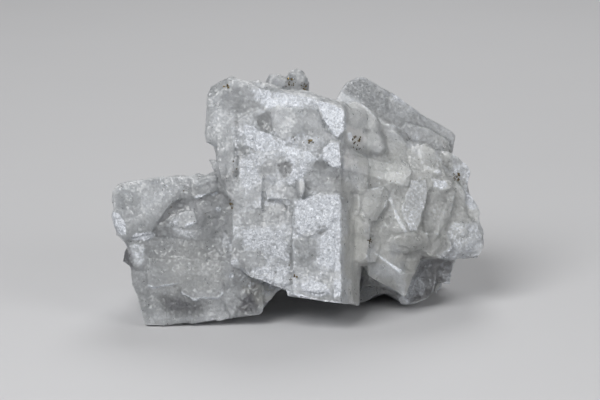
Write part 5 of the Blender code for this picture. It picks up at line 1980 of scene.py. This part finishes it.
@dataclass
class Studio:
    """Pale floor, soft lights and the camera.

    Each light has a name, a place, a width in metres and a power in watts.
    """

    aim: Place = (0.000221, -0.001326, 0.027148)
    distance: float = 0.768
    looking_down_deg: float = 12.0
    lens: float = 180.0
    floor_half: float = 3.0
    world: float = 0.16
    lights: tuple[tuple[str, Place, float, float], ...] = (
        ("key", (-0.36, -0.66, 0.66), 0.60, 8.8),
        ("fill", (0.70, -0.60, 0.40), 0.60, 2.6),
        ("back", (0.05, 0.60, 0.70), 0.50, 3.0),
    )

    def build(self) -> None:
        """Make everything that isn't the specimen."""
        self._floor()
        self._lights()
        self._camera()

    def _floor(self) -> None:
        """A wide plain floor."""
        bpy.ops.object.select_all(action="DESELECT")
        bpy.ops.mesh.primitive_plane_add(size=2 * self.floor_half, location=(0, 0, 0))
        floor = bpy.context.active_object
        floor.name = "floor"
        floor.data.materials.append(FloorFinish().build())

    def _lights(self) -> None:
        """Soft area lights and an even sky."""
        for name, place, size, power in self.lights:
            lamp = bpy.data.lights.new(name, "AREA")
            lamp.shape = "DISK"
            lamp.size = size
            lamp.energy = power
            item = Bench.new_object(name, lamp)
            item.location = place
            to_aim = Vector(self.aim) - Vector(place)
            item.rotation_euler = to_aim.to_track_quat("-Z", "Y").to_euler()
        world = bpy.data.worlds.new("studio")
        world.use_nodes = True
        sky = world.node_tree.nodes["Background"]
        sky.inputs["Color"].default_value = (1.0, 1.0, 1.0, 1.0)
        sky.inputs["Strength"].default_value = self.world
        bpy.context.scene.world = world
        bpy.context.scene.view_settings.view_transform = "Standard"

    def _camera(self) -> None:
        """A long lens that looks a little down on the front."""
        lens = bpy.data.cameras.new("camera")
        lens.lens = self.lens
        lens.sensor_width = 36.0
        camera = Bench.new_object("camera", lens)
        down = math.radians(self.looking_down_deg)
        back = Vector((0, -math.cos(down), math.sin(down)))
        camera.location = Vector(self.aim) + back * self.distance
        camera.rotation_euler = (-back).to_track_quat("-Z", "Y").to_euler()
        bpy.context.scene.camera = camera


# ------------------------------------------------------------------------------- the lot

PACKED_GROUPS = {
    "pyrite_mound_pocket": (0.46, 10),
    "pyrite_corner_row": (0.48, 12),
    "pyrite_knob_left": (0.50, 7),
    "pyrite_knob_right": (0.45, 10),
    "pyrite_centre_face": (0.50, 6),
    "pyrite_junction": (0.48, 9),
    "pyrite_groove": (0.40, 5),
    "pyrite_top_left": (0.45, 6),
    "pyrite_side": (0.42, 6),
}
SPECKS = (
    PyriteGroup("pyrite_specks_corner", (39.2, 37.0), (1.4, 1.3), 0.32, 6),
    PyriteGroup("pyrite_specks_mound", (14.2, 45.4), (1.8, 1.6), 0.34, 9),
    PyriteGroup("pyrite_specks_centre", (1.2, 46.0), (3.6, 1.0), 0.26, 6),
    PyriteGroup("pyrite_specks_side", (18.0, 20.5), (0.8, 1.6), 0.26, 6),
    PyriteGroup("pyrite_specks_left", (-28.0, 28.0), (6.5, 9.0), 0.24, 8),
    PyriteGroup("pyrite_specks_strip", (-16.2, 39.5), (0.5, 3.5), 0.26, 6),
    PyriteGroup("pyrite_specks_foot", (-2.3, 14.0), (0.4, 3.5), 0.24, 5),
    PyriteGroup("pyrite_specks_knobs", (-0.6, 60.2), (3.6, 1.2), 0.30, 8),
    PyriteGroup("pyrite_specks_ledge", (21.0, 35.4), (3.5, 0.7), 0.22, 4),
)


def main() -> None:
    """Build the specimen and the studio."""
    logging.basicConfig(level=logging.INFO, format="%(relativeCreated)d ms %(message)s")
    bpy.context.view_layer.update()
    cluster = BariteCluster().build(list(PACKED_GROUPS))
    LOG.info("%s: %d triangles", cluster.name, len(cluster.data.polygons))
    cube = PyriteCube().build()
    finish = PyriteFinish().build()
    skin = Skin(cluster)
    groups = [PyriteGroup.of_node(node, *grain) for node, grain in PACKED_GROUPS.items()]
    for group in [*groups, *SPECKS]:
        piece = group.build(cube, skin, finish)
        LOG.info("%s: %d faces", piece.name, len(piece.data.polygons))
    bpy.data.objects.remove(cube)
    Studio().build()
    LOG.info("studio")


if __name__ == "__main__":
    main()
